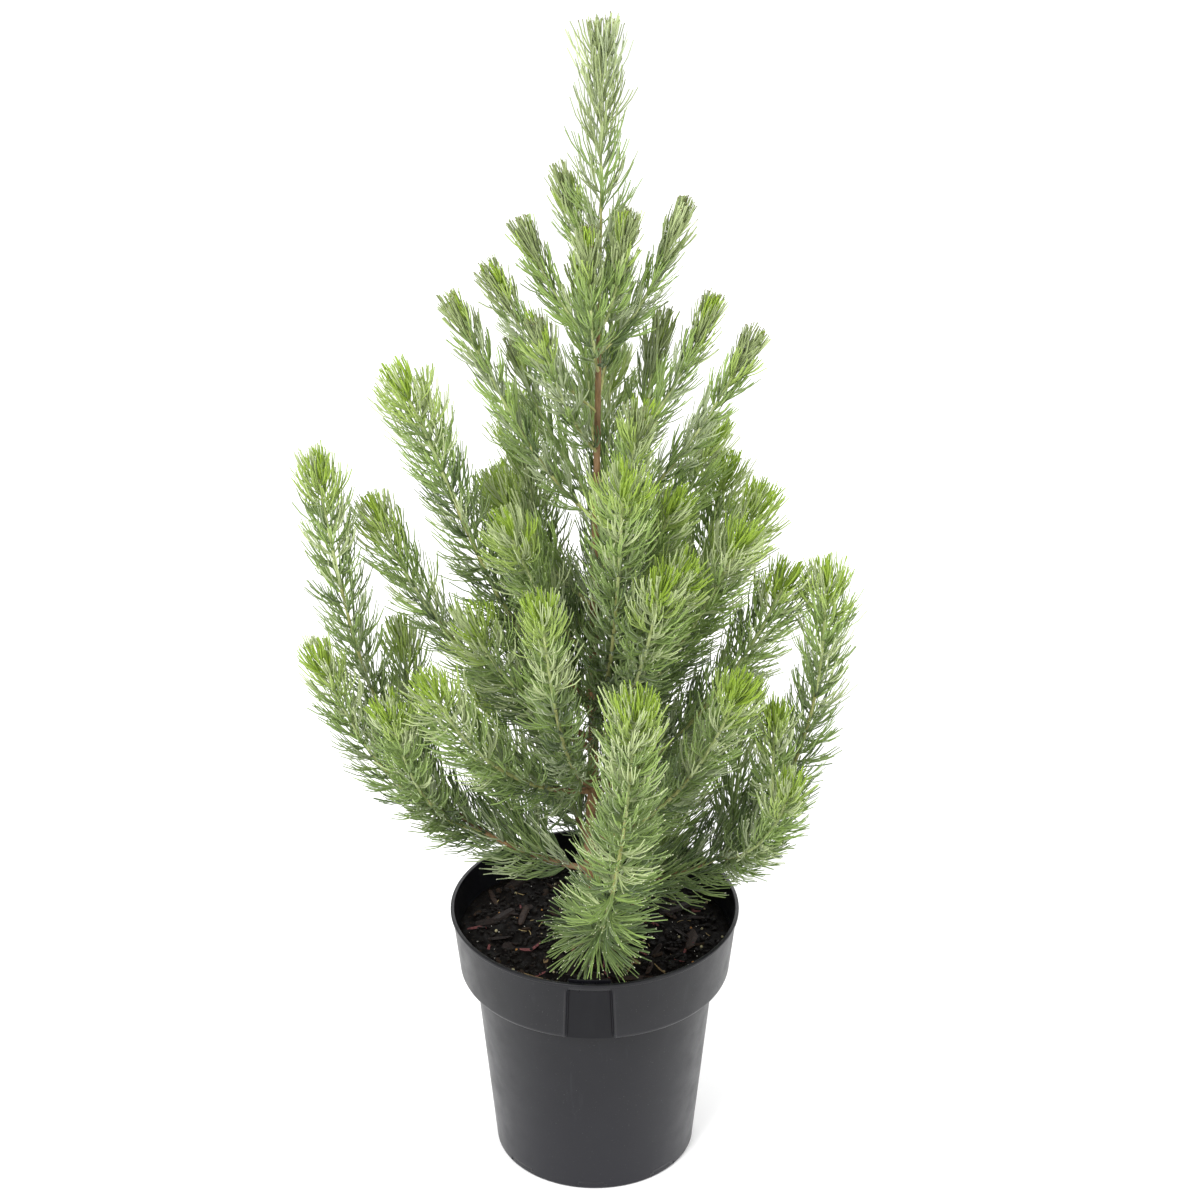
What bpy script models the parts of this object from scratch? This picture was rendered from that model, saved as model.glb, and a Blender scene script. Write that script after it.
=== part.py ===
"""Woolly bush in a nursery pot, as an assembly of separate solids.

A dark plastic pot with a wide collar holds potting mix. One thin trunk stands in the mix and carries
about forty feathery shoots. The stronger shoots start as a woody bough. Every shoot ends in a plume,
which is one stem, or one with side stems, that has sprays of needles fused on.

Lengths are metres, angles are degrees, +Z is up, and the origin is the middle of the pot's flat
underside. A heading is an angle seen from above, anticlockwise from +X. The pot's front is at -Y.
Run it with:  blender --background --python part.py
"""

import math
import random
from dataclasses import dataclass

import bmesh
import bpy
import numpy as np
from mathutils import Matrix, Vector

MM = 0.001
GAP = 0.3 * MM  # clearance between neighbouring solids

# Pot: a 250 mm nursery pot
POT_HEIGHT = 0.240
RIM_RADIUS = 0.125
LIP = 3.0 * MM  # height of the rounded rim
LIP_OUT = 1.6 * MM
COLLAR_HEIGHT = 0.061  # the wide band under the rim
COLLAR_FOOT_RADIUS = 0.117
COLLAR_CORNER = 4.0 * MM
BODY_TOP_RADIUS = 0.1045
BASE_RADIUS = 0.0875
BASE_CORNER = 2.5 * MM
WALL = 2.0 * MM
FLOOR = 3.0 * MM
POT_SIDES = 40
LEDGE = POT_HEIGHT - COLLAR_HEIGHT
BODY_SLOPE = (BODY_TOP_RADIUS - BASE_RADIUS) / LEDGE
FRONT = -92  # heading of the label recess

PANEL_WIDTH = 0.036  # label recess in the collar
PANEL_FOOT_WIDTH = 0.042
PANEL_DEPTH = 2.4 * MM
PANEL_TOP = POT_HEIGHT - 6.0 * MM

CLIP_WIDTH = 0.036  # label clip inside the rim, with three slots
CLIP_SLOTS = 3
CLIP_INSET = 7.0 * MM
CLIP_HEIGHT = 8.0 * MM
CLIP_WALL = 1.0 * MM
CLIP_BELOW_RIM = 1.0 * MM

DRAIN_COUNT = 8
DRAIN_WIDTH = 0.028
DRAIN_HEIGHT = 6.0 * MM
DRAIN_DEPTH = 0.012

# Potting mix
MIX_LEVEL = 0.214  # ground level for the plant
MIX_FALL = 3.0 * MM  # it is a little lower at the wall than at the trunk

# Trunk: from a flat cut at ground level to the foot of the leading plume
TRUNK_TOP = 0.800
TRUNK_FOOT_X = -0.004  # it leans a few millimetres to the right as it rises
TRUNK_TOP_X = 0.004
TRUNK_SIDES = 8
FLARE = {0.000: 10.0, 0.006: 7.6, 0.020: 6.6}  # radius in mm by height above the ground
TAPER = {0.110: 5.6, 0.250: 4.4, 0.400: 3.2, TRUNK_TOP - MIX_LEVEL: 2.0}
LEADER_TIP = 1.004

# Boughs and stems
BOUGH_RADIUS = 2.9 * MM
BOUGH_POINTS = 4
BOUGH_SIDES = 6
STEM_RADIUS = 1.9 * MM
STEM_TIP_RADIUS = 0.9 * MM
STEM_POINT_EVERY = 0.042
STEM_SIDES = 3

# Sprays of needles: toothed blades in a spiral, close to the stem at its tip and spreading below
YOUNG_TEETH = (-24, 0, 24)  # directions of a spray's needles
OLD_TEETH = (-34, -16, 0, 16, 34)
YOUNG_RUN = 0.030  # sprays nearer the stem's tip than this are young
HUB = 0.16  # where the needles part, as a share of the spray's length
NOTCH = 0.26  # depth of the notches between them, from the hub
TOOTH_FALL = 0.22  # the outer needles are shorter
SPRAY_THICKNESS = 0.034  # at the hub, as a share of the length
ROOT_SUNK = 0.03  # how far the root goes past the stem's middle
YOUNG_LENGTH = 0.031
OLD_LENGTH = 0.054
YOUNG_SPREAD = 12
OLD_SPREAD = 46
AGEING_RUN = 0.080  # distance from the tip over which a spray grows long and wide
GOLDEN_ANGLE = 137.5
FIRST_STEP = 6.0 * MM
STEP_GROWTH = 1.5
LAST_STEP = 0.029
LEADER_STEP = 0.015
BARE_FOOT = 6.0 * MM  # a stem has no spray this near its foot
OWN_SPACE = 1.6 * MM  # a spray stays this much nearer its own stem than any other
SHORTENED = (1, 0.82, 0.66)  # lengths that a spray is tried at


@dataclass
class Twig:
    """A side stem. It starts at this share of its parent and ends reach from the pot's axis."""

    at: float
    heading: float
    reach: float
    tip: float


@dataclass
class Shoot:
    """One shoot. It leaves the trunk at height foot and ends at height tip, reach from the pot's axis."""

    name: str
    foot: float
    heading: float
    reach: float
    tip: float
    leave: float = 40  # slope at its foot
    arrive: float = 66  # slope at its tip
    bough: float = 0  # share of its length that is a bare bough
    bulge: float = 1  # above 1 it keeps its first and last directions for longer
    veer: float = 0  # degrees that it sets out to the left of its heading
    twigs: tuple = ()


# Lowest tier: long boughs that run out over the rim and turn up
LOW = [
    Shoot("left_1", 0.275, 180, 0.220, 0.640, 12, 82, 0.16, 1.25, 0,
          (Twig(0.06, 193, 0.220, 0.500), Twig(0.14, 211, 0.180, 0.470), Twig(0.20, 163, 0.170, 0.470))),
    Shoot("right_1", 0.270, 0, 0.190, 0.550, -12, 92, 0.18, 1.35, 0,
          (Twig(0.12, 332, 0.190, 0.400), Twig(0.16, 33, 0.155, 0.400), Twig(0.34, 343, 0.155, 0.445))),
    Shoot("front_1", 0.230, 282, 0.150, 0.500, 4, 84, 0.12, 1.3, 12),
    Shoot("back_1", 0.265, 72, 0.195, 0.520, 2, 84, 0.18, 1.25),
    Shoot("back_2", 0.300, 112, 0.185, 0.560, 12, 82, 0.18, 1.2),
    Shoot("left_2", 0.355, 218, 0.160, 0.500, 14, 68, 0.20),
    Shoot("right_2", 0.305, 325, 0.140, 0.490, 26, 70, 0.24),
]

# Middle tier: boughs and shoots that climb outwards
MIDDLE = [
    Shoot("right_3", 0.350, 2, 0.155, 0.545, 28, 68, 0.24),
    Shoot("left_3", 0.395, 170, 0.180, 0.595, 24, 70, 0.22),
    Shoot("front_2", 0.360, 251, 0.125, 0.580, 30, 76, 0.16),
    Shoot("back_3", 0.355, 48, 0.165, 0.590, 28, 70, 0.22),
    Shoot("left_4", 0.405, 203, 0.105, 0.530, 34, 70, 0.18),
    Shoot("front_3", 0.405, 296, 0.115, 0.590, 34, 72),
    Shoot("back_4", 0.420, 115, 0.150, 0.640, 32, 70),
    Shoot("right_4", 0.420, 345, 0.120, 0.600, 34, 66, 0.18),
    Shoot("front_4", 0.430, 283, 0.100, 0.675, 36, 80, 0.14),
    Shoot("left_5", 0.440, 187, 0.150, 0.730, 38, 66, 0.18),
    Shoot("right_5", 0.450, 309, 0.105, 0.595),
    Shoot("right_6", 0.475, 17, 0.140, 0.600, 26, 70, 0.18),
    Shoot("back_5", 0.490, 84, 0.130, 0.690, 36, 68),
    Shoot("left_6", 0.485, 219, 0.085, 0.620),
    Shoot("left_7", 0.500, 133, 0.120, 0.590, 24, 62),
    Shoot("right_7", 0.510, 315, 0.085, 0.645),
]

# Upper tier: short plumes up the leading stem
UPPER = [
    Shoot("right_8", 0.530, 34, 0.115, 0.650, 34, 70),
    Shoot("left_8", 0.530, 158, 0.080, 0.615, 30, 66),
    Shoot("front_5", 0.560, 295, 0.080, 0.725, 36, 74),
    Shoot("back_6", 0.565, 58, 0.100, 0.735),
    Shoot("right_9", 0.595, 355, 0.120, 0.760, 38, 64),
    Shoot("left_9", 0.610, 180, 0.105, 0.785, 40, 64),
    Shoot("left_10", 0.620, 130, 0.095, 0.720),
    Shoot("right_10", 0.640, 20, 0.095, 0.770),
    Shoot("back_7", 0.660, 98, 0.080, 0.785),
    Shoot("left_11", 0.670, 237, 0.075, 0.795, 44, 68),
    Shoot("left_12", 0.705, 188, 0.075, 0.815),
    Shoot("back_8", 0.715, 68, 0.055, 0.835, 46, 72),
    Shoot("front_6", 0.740, 264, 0.040, 0.855, 46, 80),
    Shoot("right_11", 0.755, 8, 0.065, 0.860, 40, 72),
    Shoot("left_13", 0.760, 157, 0.055, 0.840),
    Shoot("front_7", 0.775, 306, 0.040, 0.865, 46, 76),
]

# The leading plume stands on the trunk's top and has one side stem
LEADER = Shoot("leader", TRUNK_TOP + GAP, 0, 0.006, LEADER_TIP, 88, 89)
LEADER_TWIG = Twig(0.15, 155, 0.024, 0.886)

TWIG_LEAVE = 24
TWIG_ARRIVE = 72


# ---------------------------------------------------------------------------------------------
# Blender helpers
# ---------------------------------------------------------------------------------------------
def clear_scene():
    for old in list(bpy.data.objects):
        bpy.data.objects.remove(old)


def new_collection(name):
    made = bpy.data.collections.new(name)
    bpy.context.scene.collection.children.link(made)
    return made


def new_material(name, colour, roughness):
    made = bpy.data.materials.new(name)
    made.use_nodes = True
    shader = made.node_tree.nodes["Principled BSDF"]
    shader.inputs["Base Color"].default_value = (*colour, 1)
    shader.inputs["Roughness"].default_value = roughness
    shader.inputs["Metallic"].default_value = 0
    return made


def paint(obj, material):
    obj.data.materials.clear()
    obj.data.materials.append(material)


def link_mesh(mesh, name, collection, matrix=None):
    made = bpy.data.objects.new(name, mesh)
    collection.objects.link(made)
    if matrix is not None:
        made.matrix_world = matrix
    return made


def evaluated_mesh(obj):
    bpy.context.view_layer.update()
    graph = bpy.context.evaluated_depsgraph_get()
    return bpy.data.meshes.new_from_object(obj.evaluated_get(graph), depsgraph=graph)


def bake(obj):
    """Applies an object's modifiers: its evaluated mesh takes the place of its own."""
    mesh = evaluated_mesh(obj)
    obj.modifiers.clear()
    obj.data = mesh


def boolean(obj, operation, helpers):
    """One Boolean of an object with all of the helpers, applied. The helpers are then removed."""
    change = obj.modifiers.new(operation.title(), "BOOLEAN")
    change.operation = operation
    change.solver = "EXACT"
    change.operand_type = "COLLECTION"
    change.collection = helpers
    bake(obj)
    for helper in list(helpers.objects):
        bpy.data.objects.remove(helper)


def box(name, size, matrix, collection):
    solid = bmesh.new()
    bmesh.ops.create_cube(solid, size=1)
    bmesh.ops.scale(solid, verts=solid.verts, vec=size)
    mesh = bpy.data.meshes.new(name)
    solid.to_mesh(mesh)
    solid.free()
    return link_mesh(mesh, name, collection, matrix)


def turned(name, profile, collection):
    """A solid of revolution about Z: the profile runs from the axis, over the top and down outside."""
    mesh = bpy.data.meshes.new(name)
    points = [(radius, 0, height) for radius, height in profile]
    mesh.from_pydata(points, [(i, i + 1) for i in range(len(points) - 1)], [])
    made = link_mesh(mesh, name, collection)
    screw = made.modifiers.new("Turn", "SCREW")
    screw.steps = screw.render_steps = POT_SIDES
    screw.use_merge_vertices = True
    screw.merge_threshold = 0.01 * MM
    bake(made)
    return made


def poly_curve(name, points, radii, cyclic, collection):
    curve = bpy.data.curves.new(name, "CURVE")
    curve.dimensions = "3D"
    spline = curve.splines.new("POLY")
    spline.points.add(len(points) - 1)
    spline.use_cyclic_u = cyclic
    for spot, point, radius in zip(spline.points, points, radii):
        spot.co = (*point, 1)
        spot.radius = radius
    made = bpy.data.objects.new(name, curve)
    made.hide_render = True
    made.display_type = "WIRE"
    collection.objects.link(made)
    return made


def limb(name, points, radii, sides, collection):
    """A tapering limb: a poly curve swept with a polygon, made a mesh, with its caps welded on."""
    turns = [math.tau * k / sides for k in range(sides)]
    corners = [(math.cos(turn), math.sin(turn), 0) for turn in turns]
    section = poly_curve("section", corners, [1] * sides, True, collection)
    path = poly_curve("path", points, radii, False, collection)
    path.data.bevel_mode = "OBJECT"
    path.data.bevel_object = section
    path.data.use_fill_caps = True
    mesh = evaluated_mesh(path)
    bpy.data.objects.remove(path)
    bpy.data.objects.remove(section)
    welded = bmesh.new()
    welded.from_mesh(mesh)
    bmesh.ops.remove_doubles(welded, verts=welded.verts, dist=0.01 * MM)
    bmesh.ops.recalc_face_normals(welded, faces=welded.faces)
    welded.to_mesh(mesh)
    welded.free()
    return link_mesh(mesh, name, collection)


# ---------------------------------------------------------------------------------------------
# Pot and potting mix
# ---------------------------------------------------------------------------------------------
def around(heading, radius, height):
    """A frame whose x axis points outwards, at this heading, radius and height."""
    turn = Matrix.Rotation(math.radians(heading), 4, "Z")
    return turn @ Matrix.Translation((radius, 0, height))


def pot_shell(collection):
    profile = [
        (0, FLOOR),
        (BASE_RADIUS - WALL + BODY_SLOPE * FLOOR, FLOOR),
        (BODY_TOP_RADIUS - WALL, LEDGE + WALL),
        (COLLAR_FOOT_RADIUS - WALL - COLLAR_CORNER, LEDGE + WALL),
        (COLLAR_FOOT_RADIUS - WALL, LEDGE + WALL + COLLAR_CORNER),
        (RIM_RADIUS - WALL, POT_HEIGHT),
        (RIM_RADIUS - LIP_OUT / 2, POT_HEIGHT),
        (RIM_RADIUS, POT_HEIGHT - LIP / 2),
        (RIM_RADIUS - LIP_OUT, POT_HEIGHT - LIP),
        (COLLAR_FOOT_RADIUS, LEDGE + COLLAR_CORNER),
        (COLLAR_FOOT_RADIUS - COLLAR_CORNER, LEDGE),
        (BODY_TOP_RADIUS, LEDGE),
        (BASE_RADIUS + BODY_SLOPE * BASE_CORNER, BASE_CORNER),
        (BASE_RADIUS - BASE_CORNER, 0),
        (0, 0),
    ]
    return turned("pot", profile, collection)


def panel_backing(depth, margin, helpers):
    """The block behind the label recess, where the collar steps inwards."""
    height = PANEL_TOP - LEDGE
    inner = COLLAR_FOOT_RADIUS - PANEL_DEPTH - WALL - margin
    size = (depth, PANEL_FOOT_WIDTH + 2 * (WALL + margin), height - 2 * (WALL - margin))
    box("backing", size, around(FRONT, inner + depth / 2, LEDGE + height / 2), helpers)


def add_panel_backing_and_clip(shell, helpers):
    """A slotted clip bridges the rim above the label recess."""
    panel_backing(PANEL_DEPTH + WALL, 0, helpers)
    middle = POT_HEIGHT - CLIP_BELOW_RIM - CLIP_HEIGHT / 2
    plate = around(FRONT, RIM_RADIUS - CLIP_INSET, middle)
    box("clip", (CLIP_WALL, CLIP_WIDTH, CLIP_HEIGHT), plate, helpers)
    rib = (CLIP_INSET - WALL / 2, CLIP_WALL, CLIP_HEIGHT - 2 * CLIP_BELOW_RIM)
    for k in range(CLIP_SLOTS + 1):
        sideways = (k / CLIP_SLOTS - 0.5) * (CLIP_WIDTH - CLIP_WALL)
        place = around(FRONT, RIM_RADIUS - CLIP_INSET / 2 - WALL / 2, middle)
        place = place @ Matrix.Translation((0, sideways, -CLIP_BELOW_RIM / 2))
        box(f"rib_{k}", rib, place, helpers)
    boolean(shell, "UNION", helpers)


def cut_panel_and_drains(shell, helpers):
    """The recess keeps its depth up the sloping collar, flares downwards and runs out below."""
    bottom = LEDGE - 2 * WALL
    collar_slope = (RIM_RADIUS - LIP_OUT - COLLAR_FOOT_RADIUS) / (COLLAR_HEIGHT - LIP)
    height = PANEL_TOP - bottom
    depth = 0.02
    middle = COLLAR_FOOT_RADIUS - PANEL_DEPTH + depth / 2
    place = around(FRONT, middle, bottom + height / 2)
    recess = box("recess", (depth, PANEL_WIDTH, height), place, helpers)
    for corner in recess.data.vertices:
        if corner.co.z < 0:
            corner.co.y *= PANEL_FOOT_WIDTH / PANEL_WIDTH
        else:
            corner.co.x += collar_slope * (PANEL_TOP - LEDGE)
    for k in range(DRAIN_COUNT):
        heading = FRONT + 360 / DRAIN_COUNT * k
        size = (DRAIN_DEPTH, DRAIN_WIDTH, 2 * DRAIN_HEIGHT)
        box(f"drain_{k}", size, around(heading, BASE_RADIUS - WALL, 0), helpers)
    boolean(shell, "DIFFERENCE", helpers)


def potting_mix(collection, helpers):
    """A turned plug that fills the pot, clear of its wall, its floor and the label recess."""
    clear = WALL + 1 * MM
    level = MIX_LEVEL - MIX_FALL
    collar_bottom = LEDGE + WALL + COLLAR_CORNER
    collar_share = (level - collar_bottom) / (POT_HEIGHT - collar_bottom)
    collar = COLLAR_FOOT_RADIUS + (RIM_RADIUS - COLLAR_FOOT_RADIUS) * collar_share
    profile = [
        (0, MIX_LEVEL),
        (0.6 * collar, MIX_LEVEL - 0.4 * MIX_FALL),
        (collar - clear, level),
        (COLLAR_FOOT_RADIUS - clear, collar_bottom),
        (BODY_TOP_RADIUS - clear - COLLAR_CORNER / 4, LEDGE + WALL),
        (BASE_RADIUS - clear, FLOOR + GAP),
        (0, FLOOR + GAP),
    ]
    mix = turned("potting_mix", profile, collection)
    panel_backing(0.020, 2 * GAP, helpers)
    boolean(mix, "DIFFERENCE", helpers)
    return mix


# ---------------------------------------------------------------------------------------------
# Lines of the limbs
# ---------------------------------------------------------------------------------------------
FINE = 240  # samples on a line before it is cut into even steps


def direction(heading, slope):
    h, s = math.radians(heading), math.radians(slope)
    return np.array([math.cos(s) * math.cos(h), math.cos(s) * math.sin(h), math.sin(s)])


def from_axis(heading, reach, height):
    return np.array([0, 0, height]) + reach * direction(heading, 0)


def trunk_axis(height):
    share = (height - MIX_LEVEL) / (TRUNK_TOP - MIX_LEVEL)
    return np.array([TRUNK_FOOT_X + (TRUNK_TOP_X - TRUNK_FOOT_X) * share, 0, height])


def trunk_radius(height):
    radii = FLARE | TAPER
    return MM * float(np.interp(height - MIX_LEVEL, list(radii), list(radii.values())))


def bent_line(start, end, leave, arrive, bulge=1, veer=0):
    """A Hermite curve from start to end, with these slopes at its two ends."""
    heading = math.degrees(math.atan2(end[1] - start[1], end[0] - start[0]))
    pull = np.linalg.norm(end - start) * bulge
    t = np.linspace(0, 1, FINE)[:, None]
    return (
        (2 * t**3 - 3 * t**2 + 1) * start
        + (t**3 - 2 * t**2 + t) * pull * direction(heading - veer, leave)
        + (3 * t**2 - 2 * t**3) * end
        + (t**3 - t**2) * pull * direction(heading, arrive)
    )


def arc_lengths(line):
    return np.concatenate([[0], np.cumsum(np.linalg.norm(np.diff(line, axis=0), axis=1))])


def along(line, values, at):
    """Values given at a line's points, read at distances along it."""
    run = arc_lengths(line)
    return np.stack([np.interp(at, run, values[:, k]) for k in range(3)], axis=-1)


def cut(line, begin, end, count):
    """The stretch of a line between two distances along it, as evenly spaced points."""
    return along(line, line, np.linspace(begin, end, count))


def whole(line, count):
    return cut(line, 0, arc_lengths(line)[-1], count)


def tangents(line):
    step = np.gradient(line, axis=0)
    return step / np.linalg.norm(step, axis=1)[:, None]


def shoot_line(shoot):
    start = trunk_axis(shoot.foot)
    end = from_axis(shoot.heading, shoot.reach, shoot.tip)
    return bent_line(start, end, shoot.leave, shoot.arrive, shoot.bulge, shoot.veer)


def stem_of(line, begin=0):
    """The straight-sided stem that follows a line from a distance along it to its end."""
    full = arc_lengths(line)[-1]
    return cut(line, begin, full, 2 + round((full - begin) / STEM_POINT_EVERY))


def twig_of(twig, parent):
    start = along(parent, parent, arc_lengths(parent)[-1] * twig.at)
    end = from_axis(twig.heading, twig.reach, twig.tip)
    return stem_of(bent_line(start, end, TWIG_LEAVE, TWIG_ARRIVE))


# ---------------------------------------------------------------------------------------------
# Trunk
# ---------------------------------------------------------------------------------------------
def trunk_heights():
    return [MIX_LEVEL + above for above in (GAP, *list(FLARE)[1:], *TAPER)]


def trunk(name, fatter, collection):
    heights = trunk_heights()
    radii = [trunk_radius(height) + fatter for height in heights]
    return limb(name, [trunk_axis(height) for height in heights], radii, TRUNK_SIDES, collection)


def fit_to_trunk(shoot, helpers):
    """Cuts a shoot's foot to the trunk's surface, with the clearance left between them."""
    trunk("sleeve", GAP, helpers)
    boolean(shoot, "DIFFERENCE", helpers)


# ---------------------------------------------------------------------------------------------
# Plumes
# ---------------------------------------------------------------------------------------------
def spray_mesh(teeth):
    """A spray one unit long, needles fused at a hub: a flat double pyramid with a toothed rim."""
    rim = [(-ROOT_SUNK, 0)]
    for k, turn in enumerate(np.radians(teeth)):
        if k:
            between = (turn + math.radians(teeth[k - 1])) / 2
            rim.append((HUB + NOTCH * math.cos(between), NOTCH * math.sin(between)))
        needle = 1 - HUB - TOOTH_FALL * abs(turn)
        rim.append((HUB + needle * math.cos(turn), needle * math.sin(turn)))
    count = len(rim)
    solid = bmesh.new()
    cone = {"segments": count, "radius1": 1, "radius2": 0, "depth": 1}
    bmesh.ops.create_cone(solid, cap_ends=True, cap_tris=True, **cone)
    poles = [v for v in solid.verts if len(v.link_edges) == count]
    ring = sorted(set(solid.verts) - set(poles), key=lambda v: math.atan2(v.co.y, v.co.x))
    for vert, (x, y) in zip(ring, rim):
        vert.co = (x, y, 0)
    for pole in poles:
        pole.co = (HUB, 0, math.copysign(SPRAY_THICKNESS / 2, pole.co.z))
    bmesh.ops.recalc_face_normals(solid, faces=solid.faces)
    mesh = bpy.data.meshes.new("spray")
    solid.to_mesh(mesh)
    solid.free()
    return mesh


@dataclass
class Spray:
    root: Vector
    out: Vector
    across: Vector
    length: float
    young: bool

    def matrix(self, share):
        turn = Matrix((self.out, self.across, self.out.cross(self.across))).transposed().to_4x4()
        return Matrix.Translation(self.root) @ turn @ Matrix.Scale(self.length * share, 4)


def sprays_of(stem, rule, last_step):
    """The sprays of one stem, from its tip down: each is turned by the golden angle from the last."""
    full = arc_lengths(stem)[-1]
    ahead = tangents(stem)
    back, step, turn = FIRST_STEP, FIRST_STEP, rule.uniform(0, 360)
    while full - back > BARE_FOOT:
        root = Vector(along(stem, stem, full - back))
        forward = Vector(along(stem, ahead, full - back)).normalized()
        age = 1 - math.exp(-back / AGEING_RUN)
        spread = math.radians(YOUNG_SPREAD + (OLD_SPREAD - YOUNG_SPREAD) * age + rule.uniform(-4, 4))
        length = (YOUNG_LENGTH + (OLD_LENGTH - YOUNG_LENGTH) * age) * rule.uniform(0.92, 1.06)
        side = forward.orthogonal().normalized()
        side.rotate(Matrix.Rotation(math.radians(turn), 3, forward))
        out = forward * math.cos(spread) + side * math.sin(spread)
        yield Spray(root, out, forward.cross(side).normalized(), length, back < YOUNG_RUN)
        turn += GOLDEN_ANGLE + rule.uniform(-12, 12)
        back += step
        step = min(step * STEP_GROWTH, last_step)


def distance_to(points, line):
    """Least distance of each point to a line given by close points."""
    return np.sqrt(((points[:, None] - line[None]) ** 2).sum(2)).min(1)


def in_own_space(mesh, matrix, own, others, wood):
    """Whether a spray keeps nearer its own stems than any other, and clear of wood, pot and mix."""
    corners = np.array([matrix @ v.co for v in mesh.vertices])
    points = np.concatenate([corners, (corners + corners.mean(0)) / 2])
    if (distance_to(points, others) < distance_to(points, own) + OWN_SPACE).any():
        return False
    if any((distance_to(points, line) < radius + OWN_SPACE).any() for line, radius in wood):
        return False
    from_pot_axis = np.linalg.norm(points[:, :2], axis=1)
    below_rim = points[:, 2] < POT_HEIGHT + OWN_SPACE
    at_wall = below_rim & (from_pot_axis > RIM_RADIUS - 2 * CLIP_INSET)
    in_mix = points[:, 2] < MIX_LEVEL + OWN_SPACE
    return not (at_wall | in_mix).any()


def plume(name, stems, others, wood, seed, plant, helpers):
    """One mass: its stems and every spray of theirs that keeps to its own space, fused."""
    rule = random.Random(seed)
    own = np.concatenate([whole(stem, 60) for stem in stems])
    meshes = {True: spray_mesh(YOUNG_TEETH), False: spray_mesh(OLD_TEETH)}
    last_step = LEADER_STEP if name == "leader" else LAST_STEP
    for k, stem in enumerate(stems):
        foot_radius = STEM_RADIUS if k == 0 else 0.8 * STEM_RADIUS
        radii = np.linspace(foot_radius, STEM_TIP_RADIUS, len(stem))
        made = limb(f"plume_{name}", stem, radii, STEM_SIDES, plant if k == 0 else helpers)
        if k == 0:
            mass = made
        for spray in sprays_of(stem, rule, last_step):
            mesh = meshes[spray.young]
            for share in SHORTENED:
                if in_own_space(mesh, spray.matrix(share), own, others, wood):
                    link_mesh(mesh, "spray", helpers, spray.matrix(share))
                    break
    boolean(mass, "UNION", helpers)
    return mass


# ---------------------------------------------------------------------------------------------
# The whole plant
# ---------------------------------------------------------------------------------------------
def build():
    clear_scene()
    plant = new_collection("woolly_bush")
    helpers = new_collection("helpers")
    plastic = new_material("pot_plastic", (0.075, 0.077, 0.085), 0.45)
    compost = new_material("potting_mix", (0.030, 0.022, 0.016), 0.95)
    bark = new_material("bark", (0.27, 0.15, 0.075), 0.8)
    needles = new_material("needles", (0.20, 0.34, 0.10), 0.6)

    shell = pot_shell(plant)
    add_panel_backing_and_clip(shell, helpers)
    cut_panel_and_drains(shell, helpers)
    paint(shell, plastic)
    paint(potting_mix(plant, helpers), compost)

    paint(trunk("trunk", 0, plant), bark)
    trunk_line = np.array([trunk_axis(height) for height in trunk_heights()])

    # every line is laid out before the first spray, so that each plume knows its neighbours
    wood = [(whole(trunk_line, 120), trunk_radius(MIX_LEVEL + list(TAPER)[0]))]
    leader = stem_of(shoot_line(LEADER))
    stems = {"leader": [leader, twig_of(LEADER_TWIG, leader)]}
    on_trunk = set()
    for shoot in LOW + MIDDLE + UPPER:
        line = shoot_line(shoot)
        begin = 0
        if shoot.bough:
            end = shoot.bough * arc_lengths(line)[-1]
            points = cut(line, 0, end, BOUGH_POINTS)
            radii = np.linspace(BOUGH_RADIUS, STEM_RADIUS, BOUGH_POINTS)
            bough = limb(f"bough_{shoot.name}", points, radii, BOUGH_SIDES, plant)
            fit_to_trunk(bough, helpers)
            paint(bough, bark)
            wood.append((whole(points, 40), BOUGH_RADIUS))
            begin = end + GAP
        else:
            on_trunk.add(shoot.name)
        stem = stem_of(line, begin)
        stems[shoot.name] = [stem, *(twig_of(twig, stem) for twig in shoot.twigs)]

    spaced = {name: np.concatenate([whole(stem, 60) for stem in group]) for name, group in stems.items()}
    for seed, (name, group) in enumerate(stems.items()):
        others = np.concatenate([points for other, points in spaced.items() if other != name])
        mass = plume(name, group, others, wood, seed, plant, helpers)
        if name in on_trunk:
            fit_to_trunk(mass, helpers)
        paint(mass, needles)


build()
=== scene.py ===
import math

import bpy
import numpy as np
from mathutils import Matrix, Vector


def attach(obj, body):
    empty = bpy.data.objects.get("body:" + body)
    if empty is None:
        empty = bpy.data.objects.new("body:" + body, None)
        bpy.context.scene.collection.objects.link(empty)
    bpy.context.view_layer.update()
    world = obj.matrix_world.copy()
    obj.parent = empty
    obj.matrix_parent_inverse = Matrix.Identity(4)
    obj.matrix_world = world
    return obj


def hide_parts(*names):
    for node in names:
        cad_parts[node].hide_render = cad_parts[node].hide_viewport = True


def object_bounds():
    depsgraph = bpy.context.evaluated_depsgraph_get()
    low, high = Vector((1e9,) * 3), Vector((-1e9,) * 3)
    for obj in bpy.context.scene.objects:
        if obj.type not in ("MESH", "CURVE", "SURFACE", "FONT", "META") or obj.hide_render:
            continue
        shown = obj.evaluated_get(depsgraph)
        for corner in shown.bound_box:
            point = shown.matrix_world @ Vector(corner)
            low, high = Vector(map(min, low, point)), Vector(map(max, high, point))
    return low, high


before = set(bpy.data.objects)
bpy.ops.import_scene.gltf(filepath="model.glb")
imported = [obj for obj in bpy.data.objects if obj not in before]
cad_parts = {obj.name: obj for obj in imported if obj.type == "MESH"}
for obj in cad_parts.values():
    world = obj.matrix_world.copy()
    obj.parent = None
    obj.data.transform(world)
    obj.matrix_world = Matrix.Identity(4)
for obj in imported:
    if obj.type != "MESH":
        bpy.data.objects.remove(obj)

cad_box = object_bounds()
scene = bpy.context.scene
scene.view_settings.view_transform = "Standard"

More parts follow.
